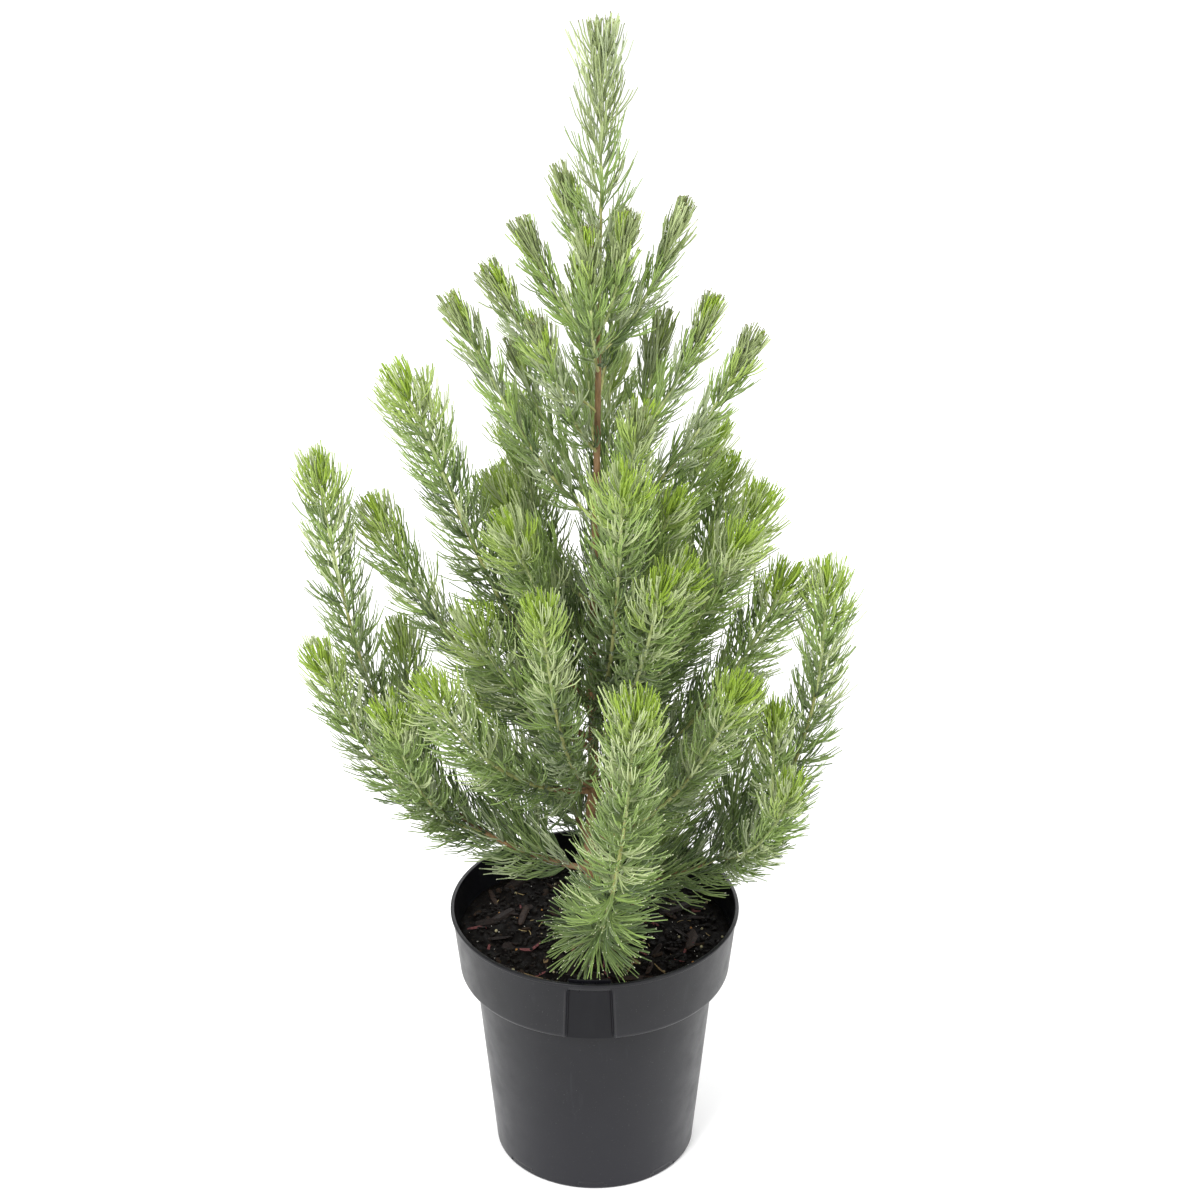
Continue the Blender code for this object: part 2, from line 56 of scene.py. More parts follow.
# ----------------------------------------------------------------------
# Camera: a long lens a little over two metres away, above the plant and tilted down at the pot.
# ----------------------------------------------------------------------
camera = bpy.data.objects.new("camera", bpy.data.cameras.new("camera"))
scene.collection.objects.link(camera)
camera.location = (0.0046, -2.264, 1.702)
camera.rotation_euler = (math.radians(62.76), 0, 0)
camera.data.lens = 92.76
camera.data.sensor_width = 36
camera.data.clip_end = 100
scene.camera = camera

# ----------------------------------------------------------------------
# Pot: a 250 mm nursery pot, injection moulded in black polypropylene about 2 mm thick. A wide
# collar carries the rim, with a label recess at the front and eight drain holes round the foot.
# ----------------------------------------------------------------------
MM = 0.001
POT_HEIGHT = 0.240
RIM_RADIUS = 0.125
LIP = 3.0 * MM
LIP_OUT = 1.6 * MM
LEDGE = 0.179
COLLAR_FOOT_RADIUS = 0.117
BODY_TOP_RADIUS = 0.1045
BASE_RADIUS = 0.0875
WALL = 2.0 * MM
FLOOR = 3.0 * MM
FRONT = math.radians(-92)
PANEL_WIDTH = 0.036
PANEL_FOOT_WIDTH = 0.042
PANEL_DEPTH = 2.4 * MM
PANEL_TOP = 0.234
PANEL_EDGE = 0.053  # share of half a turn that the recess has
COLLAR_RISE = 0.058
GROOVE = 0.5 * MM
HUB = 0.004
DUST_TOP = 0.20
DRAINS = 8
CLIP_RADIUS = RIM_RADIUS - 7 * MM
CLIP_MIDDLE = POT_HEIGHT + 1 * MM - 4 * MM
BAR_POWER = 6
BAR_CORNERS = 28
# the colour sockets of a Mix node, which share their names with its other sockets
MIX_SHARE = 0
MIX_FIRST = 6
MIX_SECOND = 7
MIX_RESULT = 2


def linear(code):
    """An sRGB hex colour such as "#8a6038" as linear RGBA."""
    parts = np.array([int(code[k : k + 2], 16) / 255 for k in (1, 3, 5)])
    parts = np.where(parts <= 0.04045, parts / 12.92, ((parts + 0.055) / 1.055) ** 2.4)
    return (*(float(part) for part in parts), 1)


def add_node(material, kind, inputs=None, **settings):
    """A shader node with its settings. An input takes a value, or another node's output to link."""
    made = material.node_tree.nodes.new(kind)
    for key, value in settings.items():
        setattr(made, key, value)
    for key, value in (inputs or {}).items():
        if isinstance(value, bpy.types.NodeSocket):
            material.node_tree.links.new(value, made.inputs[key])
        else:
            made.inputs[key].default_value = value
    return made


def new_material(name, **values):
    """A Principled material with these constants on the shader's own sockets, and the shader."""
    material = bpy.data.materials.new(name)
    material.use_nodes = True
    shader = material.node_tree.nodes["Principled BSDF"]
    for key, value in values.items():
        shader.inputs[key.replace("_", " ").title().replace("Ior", "IOR")].default_value = value
    return material, shader


def connect(material, source, target):
    material.node_tree.links.new(source, target)


def speckle(material, size, stretch=(1, 1, 1), detail=4, roughness=0.55):
    """Noise in the object's own metres, stretched along an axis, with features of about this size:
    a whole number of them fills a metre."""
    place = add_node(material, "ShaderNodeTexCoord").outputs["Object"]
    scaled = add_node(material, "ShaderNodeMapping", {"Vector": place, "Scale": stretch}).outputs[0]
    values = {"Vector": scaled, "Scale": round(1 / size), "Detail": detail, "Roughness": roughness}
    return add_node(material, "ShaderNodeTexNoise", values).outputs["Fac"]


def patches(material, band, *noise, to=(0.0, 1.0), **more):
    """A speckle read across a band of its values, and held at either end beyond it."""
    values = {"Value": speckle(material, *noise, **more), "To Min": to[0], "To Max": to[1]}
    values |= {"From Min": band[0], "From Max": band[1]}
    return add_node(material, "ShaderNodeMapRange", values).outputs["Result"]


def paint(material, shader, base, *layers):
    """The base colour, with layers over it: each a share that it covers, and its colour."""
    colour = linear(base) if isinstance(base, str) else base
    for share, code in layers:
        inputs = {MIX_SHARE: share, MIX_FIRST: colour, MIX_SECOND: linear(code)}
        colour = add_node(material, "ShaderNodeMix", inputs, data_type="RGBA").outputs[MIX_RESULT]
    connect(material, colour, shader.inputs["Base Color"])


def emboss(material, shader, depth, *noise, strength=1.0, **more):
    """Bump as deep as this in metres, by a speckle."""
    values = {"Height": speckle(material, *noise, **more), "Distance": depth, "Strength": strength}
    connect(material, add_node(material, "ShaderNodeBump", values).outputs[0], shader.inputs["Normal"])


def moulded_plastic():
    """Black polypropylene, satin, with a fine moulded grain and faint rub marks, dustier low down."""
    finish = {"roughness": 0.36, "ior": 1.49, "specular_ior_level": 0.25}
    material, shader = new_material("moulded_polypropylene", **finish)
    place = add_node(material, "ShaderNodeTexCoord").outputs["Object"]
    height = add_node(material, "ShaderNodeSeparateXYZ", {"Vector": place}).outputs["Z"]
    fade = {"Value": height, "From Max": DUST_TOP, "To Min": 1.0, "To Max": 0.0}
    dust = add_node(material, "ShaderNodeMapRange", fade).outputs["Result"]
    clouds = patches(material, (0.35, 0.68), 45.5 * MM, detail=3)
    rubs = patches(material, (0.60, 0.78), 11.1 * MM, (1, 1, 0.12), 6, 0.7)
    specks = patches(material, (0.70, 0.76), 1.111 * MM, detail=2)
    layers = ((clouds, "#141418"), (dust, "#1f1f24"), (rubs, "#212226"), (specks, "#4a4a4a"))
    paint(material, shader, "#0e0e12", *layers)
    worn = patches(material, (0.3, 0.7), 16.7 * MM, detail=5, to=(0.30, 0.42))
    connect(material, worn, shader.inputs["Roughness"])
    emboss(material, shader, 0.06 * MM, 0.625 * MM, detail=2, strength=0.6)
    return material


def recess_painted_shade():
    """The label recess of the same black polypropylene, smoother than the rest, with a darker colour
    that is painted shade in the recess.
    """
    finish = {"roughness": 0.3, "ior": 1.49, "specular_ior_level": 0.12}
    material, shader = new_material("recess_painted_shade", **finish)
    clouds = patches(material, (0.35, 0.68), 33.3 * MM, (1, 1, 0.3))
    paint(material, shader, "#111114", (clouds, "#18181b"))
    worn = patches(material, (0.3, 0.7), 9.09 * MM, (1, 1, 0.2), 5, to=(0.24, 0.42))
    connect(material, worn, shader.inputs["Roughness"])
    return material


def mesh_piece(name, points, faces, material, smooth=True):
    """A mesh object from an array of points and an array of faces with equal numbers of corners."""
    mesh = bpy.data.meshes.new(name)
    mesh.vertices.add(len(points))
    mesh.vertices.foreach_set("co", np.ascontiguousarray(points, np.float32).ravel())
    mesh.loops.add(faces.size)
    mesh.loops.foreach_set("vertex_index", np.ascontiguousarray(faces, np.int32).ravel())
    mesh.polygons.add(len(faces))
    starts = np.arange(0, faces.size, faces.shape[1], dtype=np.int32)
    mesh.polygons.foreach_set("loop_start", starts)
    mesh.update(calc_edges=True)
    mesh.polygons.foreach_set("use_smooth", np.full(len(faces), smooth))
    mesh.materials.append(material)
    made = bpy.data.objects.new(name, mesh)
    scene.collection.objects.link(made)
    return made


def grid_faces(rows, columns):
    """Quads of a grid of points numbered row by row, each row closed on itself."""
    row, column = np.meshgrid(np.arange(rows - 1), np.arange(columns), indexing="ij")
    here, beside = row * columns + column, row * columns + (column + 1) % columns
    return np.stack([here, beside, beside + columns, here + columns], axis=-1).reshape(-1, 4)


def join(parts):
    """Point and face arrays of several meshes as one."""
    starts = np.cumsum([0] + [len(points) for points, _ in parts])
    faces = [faces + start for (_, faces), start in zip(parts, starts)]
    return np.concatenate([points for points, _ in parts]), np.concatenate(faces)


def unit(vectors):
    return vectors / np.linalg.norm(vectors, axis=-1, keepdims=True)


def smooth_step(values):
    """0 below 0, 1 above 1 and a smooth rise between."""
    held = np.clip(values, 0, 1)
    return held * held * (3 - 2 * held)


def rounded(corners, radii, steps=7):
    """A profile with rounded corners: each is a quadratic curve that begins and ends a radius away."""
    corners = np.array(corners, float)
    middle = corners[1:-1, None]
    back = middle + unit(corners[:-2] - corners[1:-1])[:, None] * np.array(radii)[:, None, None]
    ahead = middle + unit(corners[2:] - corners[1:-1])[:, None] * np.array(radii)[:, None, None]
    t = np.linspace(0, 1, steps)[None, :, None]
    curves = (1 - t) ** 2 * back + 2 * t * (1 - t) * middle + t**2 * ahead
    return np.concatenate([corners[:1], curves.reshape(-1, 2), corners[-1:]])


def arc_lengths(line):
    return np.concatenate([[0], np.cumsum(np.linalg.norm(np.diff(line, axis=0), axis=1))])


def read_along(line, values, at):
    """Values given at a line's points, read at distances along it."""
    run = arc_lengths(line)
    return np.stack([np.interp(at, run, values[:, k]) for k in range(values.shape[1])], axis=-1)


def with_steps(line, step):
    """A line with points added between its own so that none are further apart than a step."""
    run = arc_lengths(line)
    at = np.unique(np.round(np.concatenate([run, np.arange(0, run[-1], step)]), 7))
    return read_along(line, line, at)


def sweep(path, across, half_width, half_height):
    """A bar with blunt ends: a superellipse of power six, this way across and upright, carried
    along a path. It narrows a little at each end and closes there to a point."""
    turn = np.linspace(0, math.tau, BAR_CORNERS, endpoint=False)
    x = half_width * np.sign(np.cos(turn)) * np.abs(np.cos(turn)) ** (2 / BAR_POWER)
    y = half_height * np.sign(np.sin(turn)) * np.abs(np.sin(turn)) ** (2 / BAR_POWER)
    section = x[:, None] * across[:, None] + y[:, None] * [0.0, 0.0, 1.0]
    rows = np.concatenate([[0], np.arange(len(path)), [len(path) - 1]])
    size = np.ones(len(rows))
    size[[0, -1]] = 0.002
    size[[1, -2]] = 0.94
    points = path[rows][:, None] + section[rows] * size[:, None, None]
    return points.reshape(-1, 3), grid_faces(len(rows), BAR_CORNERS)


def spoke(heading, near, far, height, half_width, half_height):
    """A bar that points away from the pot's axis, between two radii at a height."""
    out = np.array([math.cos(heading), math.sin(heading), 0])
    path = np.linspace(near, far, 4)[:, None] * out + [0, 0, height]
    return sweep(path, np.tile([-out[1], out[0], 0], (4, 1)), half_width, half_height)


def turned(radius, turn, height):
    """Points at these radii, angles and heights round the pot's axis."""
    return np.stack(np.broadcast_arrays(radius * np.cos(turn), radius * np.sin(turn), height), axis=-1)


def pot_surface():
    """The whole shell as radius and height along its section, turned about Z. In the recess the
    section is pressed inwards to a lower radius, with steep edges that flare towards the foot, and
    a fine groove inside and a fine ridge outside each edge."""
    slope = (BODY_TOP_RADIUS - BASE_RADIUS) / LEDGE
    inner_base = BASE_RADIUS - WALL + slope * FLOOR
    lip = RIM_RADIUS - LIP_OUT
    section = rounded(
        [
            (HUB, FLOOR),
            (inner_base, FLOOR),
            (BODY_TOP_RADIUS - WALL, LEDGE + WALL),
            (COLLAR_FOOT_RADIUS - WALL, LEDGE + WALL),
            (lip - WALL, POT_HEIGHT - LIP),
            (lip - WALL + 0.4 * MM, POT_HEIGHT),
            (RIM_RADIUS, POT_HEIGHT),
            (RIM_RADIUS, POT_HEIGHT - LIP),
            (lip, POT_HEIGHT - LIP),
            (COLLAR_FOOT_RADIUS, LEDGE),
            (BODY_TOP_RADIUS, LEDGE),
            (BASE_RADIUS, 0),
            (HUB, 0),
        ],
        [m * MM for m in (2, 1, 4, 1, 0.7, 1.0, 1.0, 0.35, 4.5, 0.6, 2.5)],
    )
    section = with_steps(section, 2.5 * MM)
    top = np.argmax(section[:, 1] + 0.001 * (section[:, 0] < RIM_RADIUS - 1 * MM))
    outer = np.arange(len(section)) > top
    radius, height = section[:, :1], section[:, 1:]
    rise = np.clip((height - LEDGE) / (PANEL_TOP - LEDGE), 0, 1)
    edge = (PANEL_FOOT_WIDTH + (PANEL_WIDTH - PANEL_FOOT_WIDTH) * rise) / 2 / COLLAR_FOOT_RADIUS
    fine = PANEL_EDGE + np.linspace(-0.0062, 0.0062, 15)
    half = np.concatenate([np.linspace(0, fine[0], 10)[:-1], fine, np.linspace(fine[-1], 1, 120)[1:]])
    beyond = edge + (half - PANEL_EDGE) / (1 - PANEL_EDGE) * (math.pi - edge)
    turn = np.where(half <= PANEL_EDGE, half / PANEL_EDGE * edge, beyond)
    past = (turn - edge) * COLLAR_FOOT_RADIUS
    below = smooth_step((PANEL_TOP - height) / (1.2 * MM))
    pressed = below * smooth_step(0.5 - past / (1.3 * MM))
    ridge = GROOVE * np.exp(-(((past - 1.3 * MM) / GROOVE) ** 2))
    groove = GROOVE * np.exp(-(((past + 1.2 * MM) / GROOVE) ** 2))
    lean = (lip - COLLAR_FOOT_RADIUS) / COLLAR_RISE
    face = COLLAR_FOOT_RADIUS - PANEL_DEPTH + lean * (height - LEDGE)
    face = np.where(outer[:, None], face, face - WALL)
    in_collar = height > LEDGE - 0.5 * MM
    shown = radius - pressed * np.maximum(radius - face, 0) * in_collar
    above = smooth_step((height - LEDGE) / (1.5 * MM))
    shown = shown + (ridge - groove) * below * above * outer[:, None]
    turn = np.concatenate([turn, -turn[:, -2:0:-1]], axis=1) + FRONT
    shown = np.concatenate([shown, shown[:, -2:0:-1]], axis=1)
    return turned(shown, turn, height)


def cut_drains(pot):
    """Rounded holes where the wall meets the floor, cut by one Boolean and applied."""
    inner = BASE_RADIUS - WALL
    headings = FRONT + np.arange(DRAINS) * math.tau / DRAINS
    bars = [spoke(heading, inner - 6 * MM, inner + 6 * MM, 0, 14 * MM, 6 * MM) for heading in headings]
    cutter = mesh_piece("cutter", *join(bars), pot.data.materials[0])
    bpy.context.view_layer.update()
    change = pot.modifiers.new("Drains", "BOOLEAN")
    change.operation = "DIFFERENCE"
    change.solver = "EXACT"
    change.object = cutter
    bpy.context.view_layer.update()
    graph = bpy.context.evaluated_depsgraph_get()
    mesh = bpy.data.meshes.new_from_object(pot.evaluated_get(graph), depsgraph=graph)
    pot.modifiers.clear()
    pot.data = mesh
    bpy.data.objects.remove(cutter)


def build_pot():
    plastic = moulded_plastic()
    grid = pot_surface()
    rows, columns = grid.shape[:2]
    faces = grid_faces(rows, columns)[:, ::-1]
    flat = grid.reshape(-1, 3)
    poles = np.array([[0, 0, FLOOR], [0, 0, 0]])
    ring = np.arange(columns)
    beside = (ring + 1) % columns
    last = (rows - 1) * columns
    top = np.stack([np.full(columns, len(flat)), ring, beside], axis=-1)
    bottom = np.stack([np.full(columns, len(flat) + 1), last + beside, last + ring], axis=-1)
    mesh = bpy.data.meshes.new("pot_shell")
    corners = [*faces.tolist(), *top.tolist(), *bottom.tolist()]
    mesh.from_pydata(np.concatenate([flat, poles]).tolist(), [], corners)
    mesh.materials.append(plastic)
    shell = bpy.data.objects.new("pot_shell", mesh)
    scene.collection.objects.link(shell)
    cut_drains(shell)
    # the faces of the label recess get this darker material of their own: painted shade in the recess
    shell.data.materials.append(recess_painted_shade())
    centres = np.empty(len(shell.data.polygons) * 3)
    shell.data.polygons.foreach_get("center", centres)
    x, y, z = centres.reshape(-1, 3).T
    off = np.abs(np.angle(np.exp(1j * (np.arctan2(y, x) - FRONT)))) * COLLAR_FOOT_RADIUS
    rise = (z - LEDGE) / (PANEL_TOP - LEDGE)
    half_width = (PANEL_FOOT_WIDTH + (PANEL_WIDTH - PANEL_FOOT_WIDTH) * rise) / 2 - 0.6 * MM
    flank = COLLAR_FOOT_RADIUS - PANEL_DEPTH - WALL / 2
    recess = (off < half_width) & (rise > 0.01) & (rise < 0.99) & (np.hypot(x, y) > flank)
    shell.data.polygons.foreach_set("material_index", recess.astype(np.int32))
    shell.data.polygons.foreach_set("use_smooth", np.full(len(shell.data.polygons), True))
    shell.data.set_sharp_from_angle(angle=math.radians(38))

    # the clip: a thin plate that follows the rim, on four ribs
    turn = FRONT + np.linspace(-0.5, 0.5, 25) * PANEL_WIDTH / CLIP_RADIUS
    out = np.stack([np.cos(turn), np.sin(turn), 0 * turn], axis=-1)
    bars = [sweep(out * CLIP_RADIUS + [0, 0, CLIP_MIDDLE], out, 0.5 * MM, 4 * MM)]
    skin = RIM_RADIUS - LIP_OUT - 1 * MM
    bars += [spoke(at, CLIP_RADIUS, skin, CLIP_MIDDLE - 1 * MM, 0.5 * MM, 3 * MM) for at in turn[::8]]
    clip = mesh_piece("label_clip", *join(bars), plastic)
    clip.data.set_sharp_from_angle(angle=math.radians(50))
    for piece in (shell, clip):
        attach(piece, "root")
        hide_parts("pot")


build_pot()

# ----------------------------------------------------------------------
# Potting mix: composted pine bark, near black and damp, with splinters, curls of reddish bark,
# bits of straw and coated fertiliser prills on top. It fills the pot to 26 mm below the rim.
# ----------------------------------------------------------------------
MIX_LEVEL = 0.214
MIX_FALL = 3.0 * MM
MIX_SPAN = 0.118
MIX_REACH = 0.1186
CHIP_REACH = 0.1195
CHIP_SPREAD = 0.108
PRILL_SPREAD = 0.112
BEHIND_RECESS = 0.1120
RECESS_TURN = 0.20  # radians either side of its middle


def noise(points, size, seed):
    """Smooth noise between -1 and 1: random values on a lattice of this size, blended between."""
    table = np.random.default_rng(seed).uniform(-1, 1, (32, 32, 32))
    cell = points / size
    low = np.floor(cell).astype(int)
    part = cell - low
    part = part * part * (3 - 2 * part)
    total = np.zeros(points.shape[:-1])
    for corner in np.ndindex(2, 2, 2):
        at = (low + corner) % 32
        weight = np.prod(np.where(corner, part, 1 - part), axis=-1)
        total += weight * table[at[..., 0], at[..., 1], at[..., 2]]
    return total


def mix_height(x, y):
    """Height of the mix: it falls to the wall by the square of the radius, with lumps 17, 7 and
    3.2 mm across."""
    flat = np.stack([x, y, 0 * x], axis=-1)
    lumps = 1.7 * noise(flat, 0.017, 3) + 1.3 * noise(flat, 0.007, 4)
    lumps = lumps + 0.8 * np.abs(noise(flat, 0.0032, 5))
    return MIX_LEVEL - MIX_FALL * (np.hypot(x, y) / MIX_SPAN) ** 2 - 1.2 * MM + lumps * MM


def damp_compost():
    """Composted bark: dark brown grains of 2 mm, some of 4 mm paler, matt and slightly damp."""
    material, shader = new_material("composted_bark", roughness=0.8, specular_ior_level=0.1)
    grains = patches(material, (0.38, 0.66), 2.38 * MM, detail=6, roughness=0.7)
    bits = patches(material, (0.62, 0.70), 3.85 * MM, detail=3)
    paint(material, shader, "#030202", (grains, "#0e0a07"), (bits, "#2e2218"))
    damp = patches(material, (0.35, 0.65), 8.33 * MM, to=(0.45, 0.95))
    connect(material, damp, shader.inputs["Roughness"])
    emboss(material, shader, 0.8 * MM, 1.429 * MM, detail=6, roughness=0.7)
    return material


def bark_chip(name, dark, pale, roughness=0.75):
    """A splinter of pine bark or wood, streaked along its grain every millimetre or so."""
    material, shader = new_material(name, roughness=roughness, specular_ior_level=0.15)
    paint(material, shader, dark, (patches(material, (0.36, 0.66), 2 * MM, (1, 1, 3), 5, 0.65), pale))
    emboss(material, shader, 0.4 * MM, 1.111 * MM, detail=5)
    return material


def scattered(count, spread, rule):
    """Places dealt evenly over a disc: the radius is the root of a random share of its square."""
    out, around = spread * np.sqrt(rule.uniform(0.01, 1, count)), rule.uniform(0, math.tau, count)
    return out * np.cos(around), out * np.sin(around)


def chips(name, count, size, curl, material, seed):
    """Splinters of this length, width and thickness lying on the mix: each is five uneven rings of
    six corners along its length, bent by its curl, turned at random, tipped a little and set on
    the surface."""
    length, width, thickness = (number * MM for number in size)
    rule = np.random.default_rng(seed)
    turn = np.linspace(0, math.tau, 6, endpoint=False)
    s = np.array([-0.5, -0.42, 0.0, 0.40, 0.5])
    fat = np.array([0.12, 0.75, 1.0, 0.8, 0.15])
    size = rule.uniform(0.6, 1.4, (count, 1, 1)) * rule.uniform(0.75, 1.25, (count, 5, 6))
    x = np.broadcast_to(s[None, :, None], (count, 5, 6)) * length * rule.uniform(0.5, 1.5, (count, 1, 1))
    y = fat[None, :, None] * np.cos(turn) * width / 2 * size
    z = fat[None, :, None] * np.sin(turn) * thickness / 2 * size
    bend = rule.uniform(0.3, 1, (count, 1, 1)) * curl
    y = y + bend * (x / length) ** 2 * length
    z = z + 0.4 * bend * (x / length) ** 2 * length
    heading, tip, roll = (rule.uniform(-a, a, (count, 1, 1)) for a in (math.pi, 0.35, 0.6))
    y, z = y * np.cos(roll) - z * np.sin(roll), y * np.sin(roll) + z * np.cos(roll)
    x, z = x * np.cos(tip) - z * np.sin(tip), x * np.sin(tip) + z * np.cos(tip)
    x, y = x * np.cos(heading) - y * np.sin(heading), x * np.sin(heading) + y * np.cos(heading)
    at_x, at_y = scattered(count, CHIP_SPREAD, rule)
    x, y = x + at_x[:, None, None], y + at_y[:, None, None]
    z = z + (mix_height(at_x, at_y) + 0.35 * thickness)[:, None, None]
    inside = np.hypot(x, y).max((1, 2)) < CHIP_REACH
    points = np.stack([x, y, z], axis=-1)[inside].reshape(-1, 3)
    faces = (np.arange(inside.sum())[:, None, None] * 30 + grid_faces(5, 6)).reshape(-1, 4)
    return mesh_piece(name, points, faces, material, smooth=False)


def prills(name, count, radius, material, seed):
    """Round coated prills half sunk in the mix, each a ball of seven rings of ten corners."""
    rule = np.random.default_rng(seed)
    tilt = np.linspace(-math.pi / 2 * 0.98, math.pi / 2 * 0.98, 7)[:, None]
    ball = turned(np.cos(tilt), np.linspace(0, math.tau, 10, endpoint=False), np.sin(tilt))
    x, y = scattered(count, PRILL_SPREAD, rule)
    centre = np.stack([x, y, mix_height(x, y) + 0.5 * radius], axis=-1)
    size = radius * rule.uniform(0.7, 1.2, (count, 1, 1))
    points = (centre[:, None] + ball.reshape(1, -1, 3) * size).reshape(-1, 3)
    faces = (np.arange(count)[:, None, None] * 70 + grid_faces(7, 10)).reshape(-1, 4)
    return mesh_piece(name, points, faces, material)


def build_mix():
    columns = 240
    turn = np.linspace(0, math.tau, columns, endpoint=False)
    radius = np.linspace(0.0005, MIX_REACH, 90)[:, None]
    top = turned(radius, turn, mix_height(radius * np.cos(turn), radius * np.sin(turn)))
    side = [(0.1176, 0.205), (0.1140, 0.1853), (0.1010, 0.1812), (0.0845, 0.0034), (0.0005, 0.0034)]
    side = with_steps(np.array(side), 6 * MM)
    grid = np.concatenate([top, turned(side[:, :1], turn, side[:, 1:])])
    # the wall is pressed in behind the label recess, and the mix keeps clear of it
    recess = np.abs(np.angle(np.exp(1j * (turn - FRONT)))) < RECESS_TURN
    far = np.hypot(grid[..., 0], grid[..., 1])
    limit = np.where(recess & (grid[..., 2] > LEDGE), BEHIND_RECESS, 1.0)
    grid[..., :2] *= np.minimum(1, limit / far)[..., None]
    body = mesh_piece("mix_body", grid.reshape(-1, 3), grid_faces(len(grid), columns), damp_compost())
    pieces = [body]
    for name, count, size, curl, finish, seed in (
        ("mix_crumbs", 900, (4, 3.2, 2.4), 0.1, ("wet_bark", "#040302", "#120c08", 0.55), 11),
        ("mix_flakes", 34, (21, 8, 3), 0.2, ("bark_flake", "#0d0a08", "#241a17", 0.5), 19),
        ("mix_slabs", 9, (28, 9, 3), 0.1, ("bark_slab", "#19110e", "#36281f", 0.55), 27),
        ("mix_chips_brown", 34, (10, 4.5, 2.5), 0.2, ("pine_bark", "#17100b", "#33251a"), 12),
        ("mix_chips_tan", 15, (22, 4, 1.7), 0.25, ("split_wood", "#4c3d2a", "#85704f"), 13),
        ("mix_curls_red", 24, (17, 2.6, 1.2), 0.9, ("red_inner_bark", "#44252a", "#7a4a48"), 14),
        ("mix_straw", 46, (7, 0.8, 0.6), 0.5, ("straw", "#6d5c40", "#a39268"), 15),
    ):
        pieces.append(chips(name, count, size, curl, bark_chip(*finish), seed))
    # the pale prills and the perlite are real parts of the mix, and their pale specks also stand in for
    # the wet glints on it: painted highlights
    for name, code, count, radius, seed in (
        ("mix_prills_pale", "#a8a07c", 34, 1.3 * MM, 16),
        ("mix_prills_orange", "#9c6a25", 16, 1.2 * MM, 17),
        ("mix_perlite", "#c9c6bd", 130, 0.45 * MM, 18),
    ):
        coat, shader = new_material(name.replace("mix_", "coat_"), roughness=0.45)
        dull = (*(0.62 * part for part in linear(code)[:3]), 1)
        paint(coat, shader, dull, (patches(coat, (0.35, 0.65), 1.111 * MM, detail=3), code))
        pieces.append(prills(name, count, radius, coat, seed))
    for piece in pieces:
        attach(piece, "root")
        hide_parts("potting_mix")


build_mix()

# ----------------------------------------------------------------------
# Trunk and boughs: one thin woody leader with rough brown bark, split lengthwise and dotted with
# lenticels and leaf scars. The stronger boughs leave it through a small collar.
# ----------------------------------------------------------------------
TRUNK_TOP = 0.800
TRUNK_FOOT_X = -0.004
TRUNK_TOP_X = 0.004
# height above the mix in metres: radius in mm
TRUNK_RADII = {0.000: 9.0, 0.006: 6.8, 0.020: 5.6, 0.110: 4.6, 0.250: 3.9, 0.400: 2.9, 0.586: 1.9}
TRUNK_WANDER = 0.0009
WOOD_STEP = 1.5 * MM
BOUGH_RADIUS = 2.6 * MM
BOUGH_COLLAR = 0.30
STEM_RADIUS = 2.1 * MM

